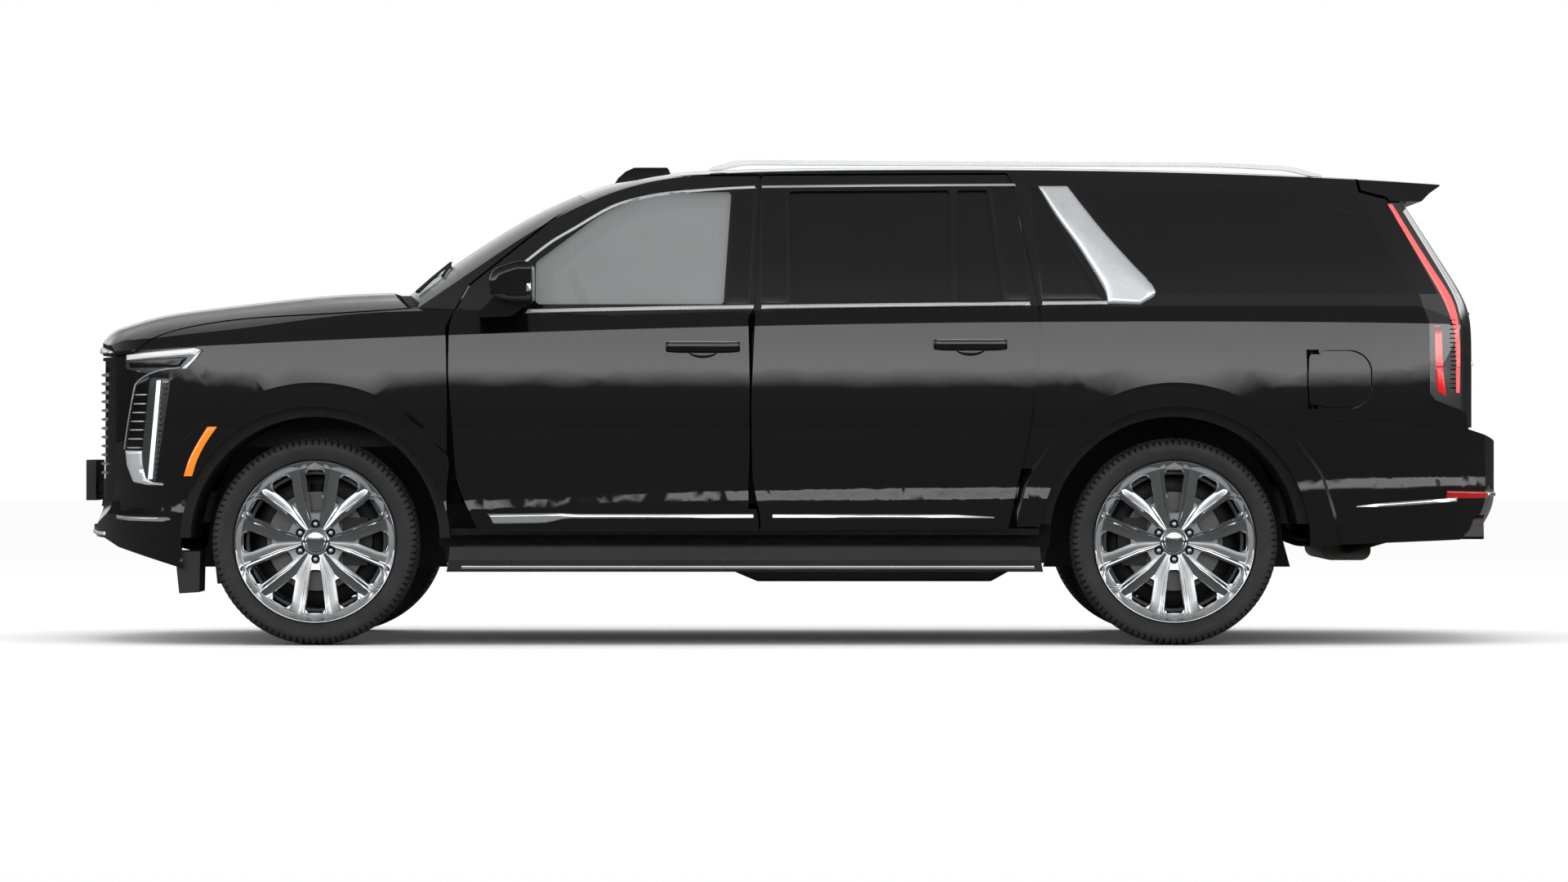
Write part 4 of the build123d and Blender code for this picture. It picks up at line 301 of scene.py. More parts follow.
# ---------------------------------------------------------------- mesh helpers, all in millimetres
def piece(name, verts, faces, mat, body="body", slot=None, sharp=35.0, bevel=0.0, segments=2):
    """A closed mesh from millimetre points, kept inside the CAD box, riding on a CAD body."""
    mesh = bpy.data.meshes.new(name)
    mesh.from_pydata([[max(-m, min(m, c)) * MM for c, m in zip(v, BOX_LIMIT)] for v in verts], [], faces)
    mesh.validate()
    bm = bmesh.new()
    bm.from_mesh(mesh)
    bmesh.ops.remove_doubles(bm, verts=bm.verts, dist=1e-6)
    bmesh.ops.dissolve_degenerate(bm, edges=bm.edges, dist=1e-6)
    bmesh.ops.recalc_face_normals(bm, faces=bm.faces)
    bm.to_mesh(mesh)
    bm.free()
    mesh.polygons.foreach_set("use_smooth", [True] * len(mesh.polygons))
    mesh.set_sharp_from_angle(angle=radians(sharp))
    mesh.materials.append(mat)
    obj = bpy.data.objects.new(name, mesh)
    bpy.context.scene.collection.objects.link(obj)
    if bevel:
        edge = obj.modifiers.new("edges", "BEVEL")
        edge.width = bevel * MM
        edge.segments = segments
        edge.limit_method = "ANGLE"
        edge.angle_limit = radians(38)
    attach(obj, body)
    slot or SLOT_FOR[mat.name]
    return obj


def join(*shapes):
    """Several (verts, faces) as one."""
    verts, faces = [], []
    for v, f in shapes:
        base = len(verts)
        verts += list(v)
        faces += [[base + i for i in face] for face in f]
    return verts, faces


def grid_faces(rows, columns, base=0, wrap_rows=False, wrap_columns=False):
    """Quads over a grid of points, numbered row by row."""
    faces = []
    for i in range(rows if wrap_rows else rows - 1):
        for j in range(columns if wrap_columns else columns - 1):
            a, b = i * columns + j, i * columns + (j + 1) % columns
            c, d = ((i + 1) % rows) * columns + (j + 1) % columns, ((i + 1) % rows) * columns + j
            faces.append([base + a, base + b, base + c, base + d])
    return faces


def slab(top, bottom):
    """A closed solid between two grids of the same size."""
    rows, columns = len(top), len(top[0])
    verts = [p for row in top for p in row] + [p for row in bottom for p in row]
    count = rows * columns
    faces = grid_faces(rows, columns) + [f[::-1] for f in grid_faces(rows, columns, count)]
    ring = [j for j in range(columns)] + [i * columns + columns - 1 for i in range(1, rows)]
    ring += [(rows - 1) * columns + j for j in range(columns - 2, -1, -1)]
    ring += [i * columns for i in range(rows - 2, 0, -1)]
    for a, b in zip(ring, ring[1:] + ring[:1]):
        faces.append([b, a, a + count, b + count])
    return verts, faces


def lengths(points):
    """Running lengths along a line of points."""
    total = [0.0]
    for a, b in zip(points, points[1:]):
        total.append(total[-1] + dist(a, b))
    return total


def at(points, share):
    """The point at a share of a line's length."""
    total = lengths(points)
    want = share * total[-1]
    for k in range(len(points) - 1):
        if want <= total[k + 1] or k == len(points) - 2:
            span = max(1e-9, total[k + 1] - total[k])
            t = (want - total[k]) / span
            return tuple(p + (q - p) * t for p, q in zip(points[k], points[k + 1]))
    return points[-1]


def smooth_line(points, steps=8):
    """A Catmull-Rom curve through points."""
    pts = [Vector(p) for p in points]
    ends = [pts[0] * 2 - pts[1]] + pts + [pts[-1] * 2 - pts[-2]]
    out = []
    for a, b, c, d in zip(ends, ends[1:], ends[2:], ends[3:]):
        for k in range(steps):
            t = k / steps
            out.append(0.5 * (2 * b + (c - a) * t + (2 * a - 5 * b + 4 * c - d) * t * t
                              + (3 * b - a - 3 * c + d) * t * t * t))
    return [tuple(p) for p in out + [pts[-1]]]


def shares(count, length, edge):
    """Shares of a length, close together at its ends so that the ends can be rounded."""
    a, b = min(0.06, edge * 0.3 / length), min(0.2, edge / length)
    middle = [b + (1 - 2 * b) * k / count for k in range(count + 1)]
    return [0.0, a] + middle + [1 - a, 1.0]


class Skin:
    """The CAD surface of some nodes, for setting trim on it."""

    def __init__(self, *names):
        verts, faces = [], []
        for name in names:
            mesh = NODES[name].data
            base = len(verts)
            verts += [v.co / MM for v in mesh.vertices]
            faces += [[base + i for i in p.vertices] for p in mesh.polygons]
        self.tree = BVHTree.FromPolygons(verts, faces)

    def onto(self, start, flat, outwards):
        """A function from (u, v) to the point met, the flat place and the outward direction."""
        out = Vector(outwards)

        def place(p):
            return self.tree.ray_cast(Vector(start(*p)), -out)[0], Vector(flat(*p)), out
        return place

    def side(self, s):
        """(x, z) to the outer side."""
        return self.onto(lambda x, z: (x, s * 1700, z), lambda x, z: (x, 0, z), (0, s, 0))

    def inner(self, s):
        """(x, z) to the inner side, seen from the cabin."""
        return self.onto(lambda x, z: (x, s * 300, z), lambda x, z: (x, 0, z), (0, -s, 0))

    def front(self):
        """(y, z) to the nose."""
        return self.onto(lambda y, z: (-3300, y, z), lambda y, z: (0, y, z), (-1, 0, 0))

    def back(self):
        """(y, z) to the tail."""
        return self.onto(lambda y, z: (3300, y, z), lambda y, z: (0, y, z), (1, 0, 0))

    def top(self):
        """(x, y) to the upper surface."""
        return self.onto(lambda x, y: (x, y, 2400), lambda x, y: (x, y, 0), (0, 0, 1))


def raised(place, points, lift):
    """Points on a surface moved by lift; those that miss it are left out."""
    hits = [place(p)[0] for p in points]
    return [hit + Vector(lift) for hit in hits if hit is not None]


def on_skin(rows, place):
    """A grid of (u, v) set on a surface; places off it take their depth from the nearest ones on it."""
    hits = [[place(p) for p in row] for row in rows]
    out, axis = [], hits[0][0][2]
    known = [(i, j, h[0].dot(axis)) for i, row in enumerate(hits) for j, h in enumerate(row) if h[0] is not None]
    for i, row in enumerate(hits):
        line = []
        for j, (hit, flat, _) in enumerate(row):
            if hit is None and known:
                depth = min(known, key=lambda k: (k[0] - i) ** 2 + (k[1] - j) ** 2)[2]
            else:
                depth = hit.dot(axis) if hit is not None else 0.0
            line.append(flat + axis * depth)
        out.append(line)
    return out, axis


def patch(name, edge_a, edge_b, place, mat, body="body", proud=4.0, sink=4.0, along=30, across=4, crown=0.25,
          soft=5.0, lean=0.0):
    """A raised strip on a surface, between two edges, with rounded borders sunk in. It leans out towards edge_b."""
    width = sum(dist(at(edge_a, t), at(edge_b, t)) for t in (0.2, 0.5, 0.8)) / 3
    length = max(lengths(edge_a)[-1], lengths(edge_b)[-1])
    ts, vs = shares(along, length, soft), shares(across, max(width, 1.0), min(soft, width * 0.3))
    rows = []
    for t in ts:
        a, b = at(edge_a, t), at(edge_b, t)
        rows.append([tuple(p + (q - p) * v for p, q in zip(a, b)) for v in vs])
    base, axis = on_skin(rows, place)

    def lift(share, count, k):
        if k in (0, count - 1):
            return -sink
        if k in (1, count - 2):
            return proud * 0.45
        return proud * (0.9 + crown * sin(pi * share))

    def tip(j):
        return lean * vs[j] if 0 < j < len(vs) - 1 else 0.0

    top = [[p + axis * (min(lift(ts[i], len(ts), i), lift(vs[j], len(vs), j)) + tip(j)) for j, p in enumerate(row)]
           for i, row in enumerate(base)]
    low = [[p - axis * (sink + 2.0) for p in row] for row in base]
    return piece(name, *slab(top, low), mat, body, sharp=50)


def sweep(path, section, up, scale=None):
    """A closed solid from a section of (side, up) points carried along a path."""
    pts = [Vector(p) for p in path]
    rings = []
    for k, p in enumerate(pts):
        run = (pts[min(k + 1, len(pts) - 1)] - pts[max(k - 1, 0)]).normalized()
        side = run.cross(Vector(up)).normalized()
        rise = side.cross(run).normalized()
        size = scale[k] if scale else 1.0
        rings.append([p + side * (a * size) + rise * (b * size) for a, b in section])
    verts = [v for ring in rings for v in ring]
    faces = grid_faces(len(rings), len(section), wrap_columns=True)
    faces += [list(range(len(section)))[::-1], [len(verts) - len(section) + k for k in range(len(section))]]
    return verts, faces


def circle(radius, count=12, flat=1.0):
    """Section points of a circle or an ellipse."""
    return [(radius * cos(2 * pi * k / count), radius * flat * sin(2 * pi * k / count))
            for k in range(count)]


def rounded(width, height, corner, count=4):
    """Section points of a rounded rectangle."""
    out = []
    for sx, sy, start in ((1, 1, 0), (-1, 1, 90), (-1, -1, 180), (1, -1, 270)):
        for k in range(count + 1):
            a = radians(start + 90 * k / count)
            out.append((sx * (width / 2 - corner) + corner * cos(a),
                        sy * (height / 2 - corner) + corner * sin(a)))
    return out


def lathe(profile, count, point):
    """A closed profile of (radius, outboard) turned about a wheel's axis; point maps (angle, radius, outboard)."""
    verts = [point(2 * pi * k / count, r, h) for k in range(count) for r, h in profile]
    return verts, grid_faces(count, len(profile), wrap_rows=True, wrap_columns=True)


def dome(profile, count, point):
    """An open profile from the rim to the axis turned about a wheel's axis, closed at the back."""
    verts = [point(2 * pi * k / count, r, h) for k in range(count) for r, h in profile[:-1]]
    columns = len(profile) - 1
    faces = grid_faces(count, columns, wrap_rows=True)
    tip, back = len(verts), len(verts) + 1
    verts += [point(0, 0, profile[-1][1]), point(0, 0, profile[0][1])]
    for k in range(count):
        n = (k + 1) % count
        faces.append([k * columns + columns - 1, n * columns + columns - 1, tip])
        faces.append([n * columns, k * columns, back])
    return verts, faces


def box(x0, x1, y0, y1, z0, z1):
    """The eight corners and six faces of a box."""
    verts = [(x, y, z) for x in (x0, x1) for y in (y0, y1) for z in (z0, z1)]
    return verts, [[0, 1, 3, 2], [4, 6, 7, 5], [0, 4, 5, 1], [2, 3, 7, 6], [0, 2, 6, 4], [1, 5, 7, 3]]


def prism(outline, y0, y1):
    """A closed solid from an (x, z) outline carried from y0 to y1."""
    verts = [(x, y, z) for y in (y0, y1) for x, z in outline]
    n = len(outline)
    faces = [list(range(n)), list(range(2 * n - 1, n - 1, -1))]
    return verts, faces + [[k, (k + 1) % n, n + (k + 1) % n, n + k] for k in range(n)]


def sensor(name, x, z, place, s):
    """A small round parking sensor set in a bumper's side."""
    y = place((x, z))[0].y
    shape = dome([(15, -6), (15, 1), (12, 2.5), (11, 1), (0, 1.6)], 24, lambda angle, r, h: (
        x + r * cos(angle), y + s * h, z + r * sin(angle)))
    piece(name, *shape, GRAINED)


# ---------------------------------------------------------------- studio: floor, light, camera
FLOOR_REACH, FLOOR_DEPTH, FLOOR_TOP = 60000, -40, -0.5
FLOOR_COLOUR, FLOOR_IN_GLOSS = 0.97, 0.13
GLOSS_SKY = [(0.0, 0.02), (0.060, 0.02), (0.092, 0.80), (0.16, 0.68), (0.26, 0.28), (0.44, 0.15), (0.58, 0.08),
             (1.0, 0.05)]


def studio():
    """A plain pale floor, soft light from above, an even world, and the camera."""
    scene = bpy.context.scene
    reach = FLOOR_REACH
    verts, faces = box(-reach, reach, -reach, reach, FLOOR_DEPTH, FLOOR_TOP)
    mesh = bpy.data.meshes.new("studio_floor")
    mesh.from_pydata([[c * MM for c in v] for v in verts], [], faces)
    floor = bpy.data.objects.new("studio_floor", mesh)
    scene.collection.objects.link(floor)
    mat = bpy.data.materials.new("floor_pale")
    mat.use_nodes = True
    nodes = Nodes(mat.node_tree)
    nodes.tree.nodes.clear()
    pale, dim = (nodes.add("BsdfDiffuse", {"Color": (k, k, k, 1)}).outputs[0] for k in (FLOOR_COLOUR, FLOOR_IN_GLOSS))
    glossy_ray = nodes.add("LightPath").outputs["Is Glossy Ray"]
    surface = nodes.add("MixShader", {0: glossy_ray, 1: pale, 2: dim}).outputs[0]
    nodes.add("OutputMaterial", {"Surface": surface})
    mesh.materials.append(mat)

    # Glossy rays see a softly graded sky; the camera and all other rays see plain white.
    world = bpy.data.worlds.new("studio_world")
    scene.world = world
    world.use_nodes = True
    nodes = Nodes(world.node_tree)
    nodes.tree.nodes.clear()
    ray = nodes.add("LightPath").outputs
    way = nodes.axes(nodes.add("TexCoord").outputs["Generated"])
    sky = nodes.ramp(way["Z"], [(position, (v, v, v * 1.01)) for position, v in GLOSS_SKY])
    glossy = nodes.math("MULTIPLY", sky, nodes.range(way["Y"], 4.6, 1.3, -0.25, 0.25))
    shiny = ray["Is Glossy Ray"]
    value = nodes.math("ADD", nodes.math("MULTIPLY", glossy, shiny), nodes.math("SUBTRACT", 1.0, shiny))
    seen = nodes.math("MAXIMUM", ray["Is Camera Ray"], ray["Is Transmission Ray"])
    value = nodes.math("ADD", nodes.math("MULTIPLY", value, nodes.math("SUBTRACT", 1.0, seen)), seen)
    back = nodes.add("Background", {"Color": (1, 1, 1, 1), "Strength": value}).outputs[0]
    nodes.add("OutputWorld", {"Surface": back})

    lamp = bpy.data.lights.new("overhead_softbox", "AREA")
    lamp.shape = "RECTANGLE"
    lamp.size, lamp.size_y = 9.0, 6.0
    lamp.energy = 260.0
    key = bpy.data.objects.new("overhead_softbox", lamp)
    key.location = (0.0, -0.8, 7.0)
    key.visible_glossy = False
    scene.collection.objects.link(key)

    eye = bpy.data.cameras.new("camera")
    eye.lens, eye.sensor_width, eye.sensor_fit = 139.1, 36.0, "HORIZONTAL"
    eye.clip_end = 400.0
    camera = bpy.data.objects.new("camera", eye)
    camera.location = (-0.022, -25.0, 0.809)
    camera.rotation_euler = (radians(90), 0, 0)
    scene.collection.objects.link(camera)
    scene.camera = camera
    scene.view_settings.view_transform = "Standard"


studio()

# ---------------------------------------------------------------- tyres and wheels
TREAD_BLOCKS = 96
TYRE_OUTER = [
    (309, 100, 0), (323, 108, 0), (326, 124, 0), (331, 129, 0), (338, 132, 0), (352, 137.5, 0), (366, 140.5, 0),
    (376, 140, 0), (383, 138.5, 0), (389, 136.5, 5), (396, 132, 9), (402, 125, 9), (406, 117, 9), (408, 104, 9),
    (409, 92, 9), (409, 86, 9), (401, 84, 0), (401, 76, 0), (409.5, 74, 0), (409.5, 52, 4), (409.8, 34, 4),
    (409.8, 28, 0), (401.5, 26, 0), (401.5, 18, 0), (409.8, 16, 0), (409.8, 0, 0),
]
TYRE_INNER = [(390, 0), (388, 90), (366, 126), (340, 122), (324, 98), (309, 78)]


def tyre_mesh(point):
    """A tyre: rounded sidewalls with raised rings, shoulder blocks, and grooves round the tread."""
    profile = TYRE_OUTER + [(r, -h, cut) for r, h, cut in TYRE_OUTER[-2::-1]]
    profile += [(r, -h, 0) for r, h in TYRE_INNER[::-1][:-1]] + [(r, h, 0) for r, h in TYRE_INNER]
    verts, steps = [], TREAD_BLOCKS * 4
    for k in range(steps):
        block, part = divmod(k, 4)
        turn = block + (0.0, 0.06, 0.27, 0.33)[part]
        angle = 2 * pi * turn / TREAD_BLOCKS
        for r, h, cut in profile:
            depth = cut if part in (1, 2) else 0
            slant = 0.010 * h / 140 if cut else 0.0
            verts.append(point(angle + slant, r - depth, h * (1 - depth * 0.0035)))
    return verts, grid_faces(steps, len(profile), wrap_rows=True, wrap_columns=True)


def face_height(r):
    """How far outboard of the wheel's middle the wheel's own face stands, by radius."""
    return 80 + 6 * (r - 20) / 100 if r < 120 else 86 + 18 * (r - 120) / 177


SPOKE_STATIONS = [(58, 2.0, 1.0), (84, 3.0, 2.0), (112, 5.5, 3.2), (150, 8.0, 6.5), (172, 9.5, 9.0), (210, 12.0, 11.0),
                  (250, 13.5, 11.5), (284, 12.0, 8.0), (302, 9.0, 5.0), (316, 5.0, 2.0)]

SPOKE_SHAPE = [(0, -0.6), (0.0, 0.75), (0.05, 0.98), (0.12, 1.0), (0.17, 0.62), (0.24, 0.60), (0.30, 0.97), (0.38, 1.0),
               (0.46, 0.86), (0.62, 0.42), (0.8, 0.18), (0.97, 0.06), (1.0, -0.05)]


def spoke_mesh(point, slot_angle, flip):
    """One spoke's face: twin ridges beside the long window and a facet that falls to the short one."""
    top, low = [], []
    for r, ridge, _ in SPOKE_STATIONS:
        long_edge = 20 + 20 * max(0, min(1, (r - 112) / 156)) if r > 108 else 15.0
        if r > 290:
            long_edge = 40 - (r - 290) * 1.5
        short_edge = 0.6 if r < 168 else 9 + 35 * min(1, (r - 172) / 90)
        if r > 290:
            short_edge = 44 - (r - 290) * 1.7
        start = asin(min(0.9, max(0.4, long_edge) / r))
        end = radians(30) - asin(max(0.3, short_edge) / r)
        low_height = face_height(r) + 0.8
        if r > 297:
            low_height = max(low_height, 104 + 13.5 * (r - 297) / 12) if r < 309 else 118.5
        row, base = [], []
        for share, lift in SPOKE_SHAPE:
            angle = start + (end - start) * share
            turn = radians(slot_angle) + (angle if not flip else -angle)
            row.append(point(turn, r, low_height + ridge * lift))
            base.append(point(turn, r, low_height - 6))
        top.append(row)
        low.append(base)
    return slab(top, low)


def wheel_pieces(axle, axle_x, side, s):
    """The tyre, spoke faces, rim ring, nuts and cap of one wheel."""
    def point(angle, r, h):
        return (axle_x + r * cos(angle), s * (WHEEL_Y + h), WHEEL_Z + r * sin(angle))

    body, tag = f"wheel_{axle}_{side}", f"{axle}_{side}"
    tyre = piece(f"tyre_tread_{tag}", *tyre_mesh(point), RUBBER, body, "tyre_rubber", sharp=28)
    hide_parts(f"tyre_{axle}_{side}")
    spokes = [spoke_mesh(point, 90 + 60 * k, flip) for k in range(6) for flip in (False, True)]
    piece(f"wheel_spokes_{tag}", *join(*spokes), WHEEL_TRIM, body, sharp=24)
    ring = [(296, 102), (299, 106.5), (306, 112), (312, 117), (316, 119.5), (320, 119.8), (322.5, 118), (322.5, 112),
            (318, 108), (305, 100)]
    lip = lathe(ring, 96, point)
    frames = []
    for k in range(12):
        angle = radians(30 * k)
        half_width = 0.118 if k % 2 else 0.128
        path = [point(angle + half_width * t, 287 + 4 * (1 - t * t), face_height(289) + 2.2) for t in
                [-1 + 2 * i / 8 for i in range(9)]]
        frames.append(sweep(path, rounded(7, 7, 2.5, 2), (0, s, 0)))
    piece(f"wheel_ring_{tag}", *join(lip, *frames), WHEEL_TRIM, body, sharp=30)
    cap = dome([(42, 78), (43.5, 88), (42, 92.5), (38, 94), (36, 92.8), (20, 94.2), (0, 94.8)], 48, point)
    collar = lathe([(44, 80), (45, 90), (49, 92), (54, 90), (56, 84), (56, 79)], 48, point)
    piece(f"wheel_cap_{tag}", *join(cap, collar), WHEEL_TRIM, body, sharp=30)
    # Gloss black rings line each nut's pocket: painted shade in the recess round the nut.
    well = [(13.0, 70), (13.0, 85), (14.5, 87.5), (17.0, 87.5), (18.5, 85), (18.5, 79), (15, 70)]
    nut_shade_rings, nuts = [], []
    for k in range(6):
        a = radians(90 + 60 * k)
        cx, cz = 70 * cos(a), 70 * sin(a)

        def local(angle, r, h, cx=cx, cz=cz):
            return (axle_x + cx + r * cos(angle), s * (WHEEL_Y + h), WHEEL_Z + cz + r * sin(angle))

        nut_shade_rings.append(lathe(well, 24, local))
        nuts.append(dome([(10.5, 60), (10.5, 88), (9.6, 91), (9.0, 93.5), (6.5, 96), (3, 97.2), (0, 97.5)], 6, local))
    piece(f"wheel_nut_shade_rings_{tag}", *join(*nut_shade_rings), GLOSS, body, sharp=30)
    piece(f"wheel_nuts_{tag}", *join(*nuts), CHROME, body, sharp=30, bevel=0.8)


for axle, axle_at in AXLES:
    for side, s in SIDES:
        wheel_pieces(axle, axle_at, side, s)


# ---------------------------------------------------------------- side trim
FRONT_FRAME = [(-1052, 1522), (-952, 1600), (-857, 1657), (-708, 1744), (-576, 1783), (-470, 1800), (-368, 1809),
               (-240, 1818), (-136, 1823)]
BLADE_FRONT = [(990, 1829), (1060, 1708), (1142, 1590), (1190, 1512), (1224, 1455), (1256, 1392), (1262, 1352)]
BLADE_REAR = [(1110, 1829), (1178, 1738), (1243, 1655), (1305, 1582), (1360, 1520), (1458, 1404), (1392, 1349)]


def shifted(points, dx, dz):
    """Points moved along."""
    return [(x + dx, z + dz) for x, z in points]


def handle(side, s, door, x0, x1, zc, place):
    """A bowed pull with a bright edge over a dark finger cup."""
    body = f"{door}_{side}"
    shape = [(0, -3), (0.03, 8), (0.09, 20), (0.18, 28), (0.35, 33), (0.5, 34), (0.65, 33), (0.82, 28), (0.91, 20),
             (0.97, 8), (1, -3)]
    path = []
    for share, lift in smooth_line(shape, 3):
        hit = place((x0 + (x1 - x0) * share, zc))[0]
        path.append(hit + Vector((0, s * lift, 0)))
    bar_shape = rounded(15, 40, 6.5, 3)
    piece(f"handle_{body}", *sweep(path, bar_shape, (0, 0, 1)), GLOSS, body, sharp=40)
    edge = [p + Vector((0, s * 3.5, 19.5)) for p in path[2:-2]]
    piece(f"handle_edge_{body}", *sweep(edge, circle(2.4, 8), (0, 0, 1)), CHROME, body)
    mid, wide = (x0 + x1) / 2, 62
    turns = [radians(a) for a in range(0, 181, 15)]
    arc, flat = ([(mid - wide * cos(a), zc - 12 - deep * sin(a)) for a in turns] for deep in (34, -26))
    patch(f"handle_cup_{body}", flat, arc, place, GLOSS, body, proud=1.2, sink=3, along=14, across=6)


def side_trim(side, s):
    """Bright lines, handles, pillar covers, the blade and the sill line of one side."""
    f_body, r_body = f"front_door_{side}", f"rear_door_{side}"
    front = Skin(f_body, f"front_door_glass_{side}").side(s)
    rear = Skin(r_body, f"rear_door_glass_{side}").side(s)
    flank = Skin("body_sides", "quarter_glass").side(s)
    patch(f"belt_bright_{f_body}", [(-1040, 1333), (-500, 1345), (-140, 1350)], [(-1052, 1316), (-500, 1327),
        (-142, 1332)], front, CHROME_SOFT, f_body, proud=8, crown=0.2, lean=2.6)
    patch(f"belt_bright_{r_body}", [(-112, 1350), (400, 1357), (955, 1363)], [(-114, 1332), (400, 1340), (958, 1346)],
        rear, CHROME_SOFT, r_body, proud=8, crown=0.2, lean=2.6)
    patch(f"belt_bright_body_{side}", [(1002, 1364), (1262, 1366)], [(1002, 1347), (1264, 1350)], flank, CHROME_SOFT,
        proud=8, along=12, crown=0.2, lean=2.6)
    patch(f"frame_bright_{f_body}", smooth_line(shifted(FRONT_FRAME, -3, 6), 4),
        smooth_line(shifted(FRONT_FRAME, 3, -6), 4), front, CHROME_SOFT, f_body, proud=6, along=46, across=3,
        crown=0.15, soft=3, lean=-1.0)
    patch(f"frame_bright_{r_body}", [(-112, 1830), (400, 1836), (900, 1838)], [(-112, 1818), (400, 1824), (906, 1826)],
        rear, CHROME, r_body, proud=6, across=3, crown=0.15, soft=3, lean=-1.0)
    patch(f"pillar_cover_{f_body}", [(-226, 1806), (-256, 1353)], [(-137, 1812), (-158, 1353)], front, GLOSS, f_body,
        proud=1.6, sink=2, along=18, crown=0.1)
    patch(f"pillar_cover_{r_body}", [(-112, 1812), (-116, 1357)], [(-10, 1812), (-2, 1357)], rear, GLOSS, r_body,
        proud=1.6, sink=2, along=18, crown=0.1)
    patch(f"rear_cover_{r_body}", [(800, 1820), (856, 1370)], [(905, 1822), (958, 1370)], rear, GLOSS, r_body,
        proud=1.6, sink=2, along=18, crown=0.1)
    patch(f"c_panel_{side}", [(952, 1822), (1000, 1372)], [(992, 1822), (1246, 1372)], flank, GLOSS, proud=2.5, sink=3,
        along=20, across=8, crown=0.2)
    patch(f"c_blade_{side}", smooth_line(BLADE_FRONT, 4), smooth_line(BLADE_REAR, 4), flank, CHROME_SOFT, proud=11,
        sink=5, along=34, across=8, crown=0.6, soft=16)
    patch(f"sill_bright_{f_body}", [(-1196, 521), (-900, 525), (-860, 521), (-140, 520)], [(-1172, 480), (-970, 483),
        (-884, 502), (-140, 503)], front, CHROME, f_body, proud=9, across=5, crown=0.15, soft=4, lean=3.5)
    patch(f"sill_bright_{r_body}", [(-70, 520), (650, 519), (812, 509)], [(-70, 503), (650, 503), (812, 503)], rear,
        CHROME, r_body, proud=9, crown=0.15, soft=4, lean=3.0)
    handle(side, s, "front_door", -484, -202, 1181, front)
    handle(side, s, "rear_door", 576, 856, 1190, rear)
    boards = Skin("running_boards").side(s)
    patch(f"board_bright_{side}", [(-1300, 316), (970, 316)], [(-1300, 302), (970, 302)], boards, CHROME, along=24,
        across=3, crown=0.15, soft=3, lean=2.0)


for side, s in SIDES:
    side_trim(side, s)

# ---------------------------------------------------------------- nose: lamps, grille, bright corners
NOSE = Skin("front_bumper", "headlamps", "front_fenders", "hood")
FINS = (993, 957, 922, 887, 853, 817, 782)


def nose_trim(side, s):
    """Lamps, vent, bright corner, marker and sensor of one side of the nose."""
    place = NOSE.side(s)
    patch(f"drl_top_{side}", [(-2650, 1152), (-2575, 1160), (-2440, 1171), (-2356, 1178), (-2334, 1170)],
        [(-2650, 1132), (-2575, 1138), (-2440, 1148), (-2372, 1154), (-2356, 1150)], place, LIT_SOFT, proud=3, along=26,
        across=3, soft=3)
    patch(f"drl_corner_{side}", [(-2332, 1168), (-2348, 1140), (-2392, 1096)], [(-2354, 1150), (-2372, 1130),
        (-2412, 1096)], place, LIT_SOFT, proud=3, along=10, across=3, soft=3)
    patch(f"lamp_panel_{side}", [(-2642, 1128), (-2380, 1146)], [(-2634, 1098), (-2420, 1100)], place, GLOSS, proud=1.5,
        sink=3, along=18, across=5)
    patch(f"drl_bar_{side}", [(-2516, 1050), (-2530, 900), (-2555, 657)], [(-2497, 1052), (-2510, 900), (-2534, 657)],
        place, LIT_WHITE, along=26, across=3, soft=3)
    patch(f"lamp_cells_{side}", [(-2492, 1056), (-2506, 900), (-2528, 660)], [(-2462, 1056), (-2490, 850),
        (-2516, 660)], place, CELLS, proud=2, along=26, soft=3)
    patch(f"vent_recess_{side}", [(-2612, 1040), (-2622, 980), (-2652, 776)], [(-2548, 1070), (-2556, 980),
        (-2580, 776)], place, GLOSS, proud=1.2, sink=3, along=18, across=5)
    for k, z in enumerate(FINS):
        t = k / (len(FINS) - 1)
        x0, x1 = -2608 - 36 * t, -2556 - 22 * t
        xs = [x0 + (x1 - x0) * share for share in (0, 0.25, 0.5, 0.75, 1.0)]
        points = [(place((x, z))[0] or Vector((x, s * 900, z))) + Vector((0, s * 4.0, 0)) for x in xs]
        piece(f"vent_fin_{side}_{k}", *sweep(points, rounded(9, 6, 2, 2), (0, 0, 1), [0.6, 1, 1, 1, 0.5]), CHROME)
    patch(f"corner_bright_{side}", [(-2657, 772), (-2650, 712), (-2621, 645), (-2560, 634), (-2486, 632)],
        [(-2578, 772), (-2575, 712), (-2562, 664), (-2534, 646), (-2486, 641)], place, CHROME_SOFT, proud=6, along=24,
        across=6, crown=0.4, soft=8)
    line = [(-2659, 776), (-2644, 870), (-2617, 1000), (-2602, 1040), (-2560, 1070), (-2500, 1090), (-2418, 1100)]
    path = raised(place, smooth_line(line, 5), (0, s * 2.0, 0))
    piece(f"vent_edge_{side}", *sweep(path, circle(3.2, 8), (0, 0, 1)), CHROME)
    patch(f"bumper_bright_{side}", [(-2700, 512), (-2640, 509), (-2470, 507), (-2458, 500)], [(-2700, 498),
        (-2640, 490), (-2492, 487), (-2460, 495)], place, CHROME, proud=7, along=22, crown=0.4, soft=6)
    patch(f"marker_amber_{side}", smooth_line([(-2304, 866), (-2346, 800), (-2380, 735), (-2402, 669)], 4),
        smooth_line([(-2264, 866), (-2310, 800), (-2344, 735), (-2366, 669)], 4), place, LIT_AMBER, along=22, soft=4)
    sensor(f"sensor_front_{side}", -2400, 563, place, s)


for side, s in SIDES:
    nose_trim(side, s)

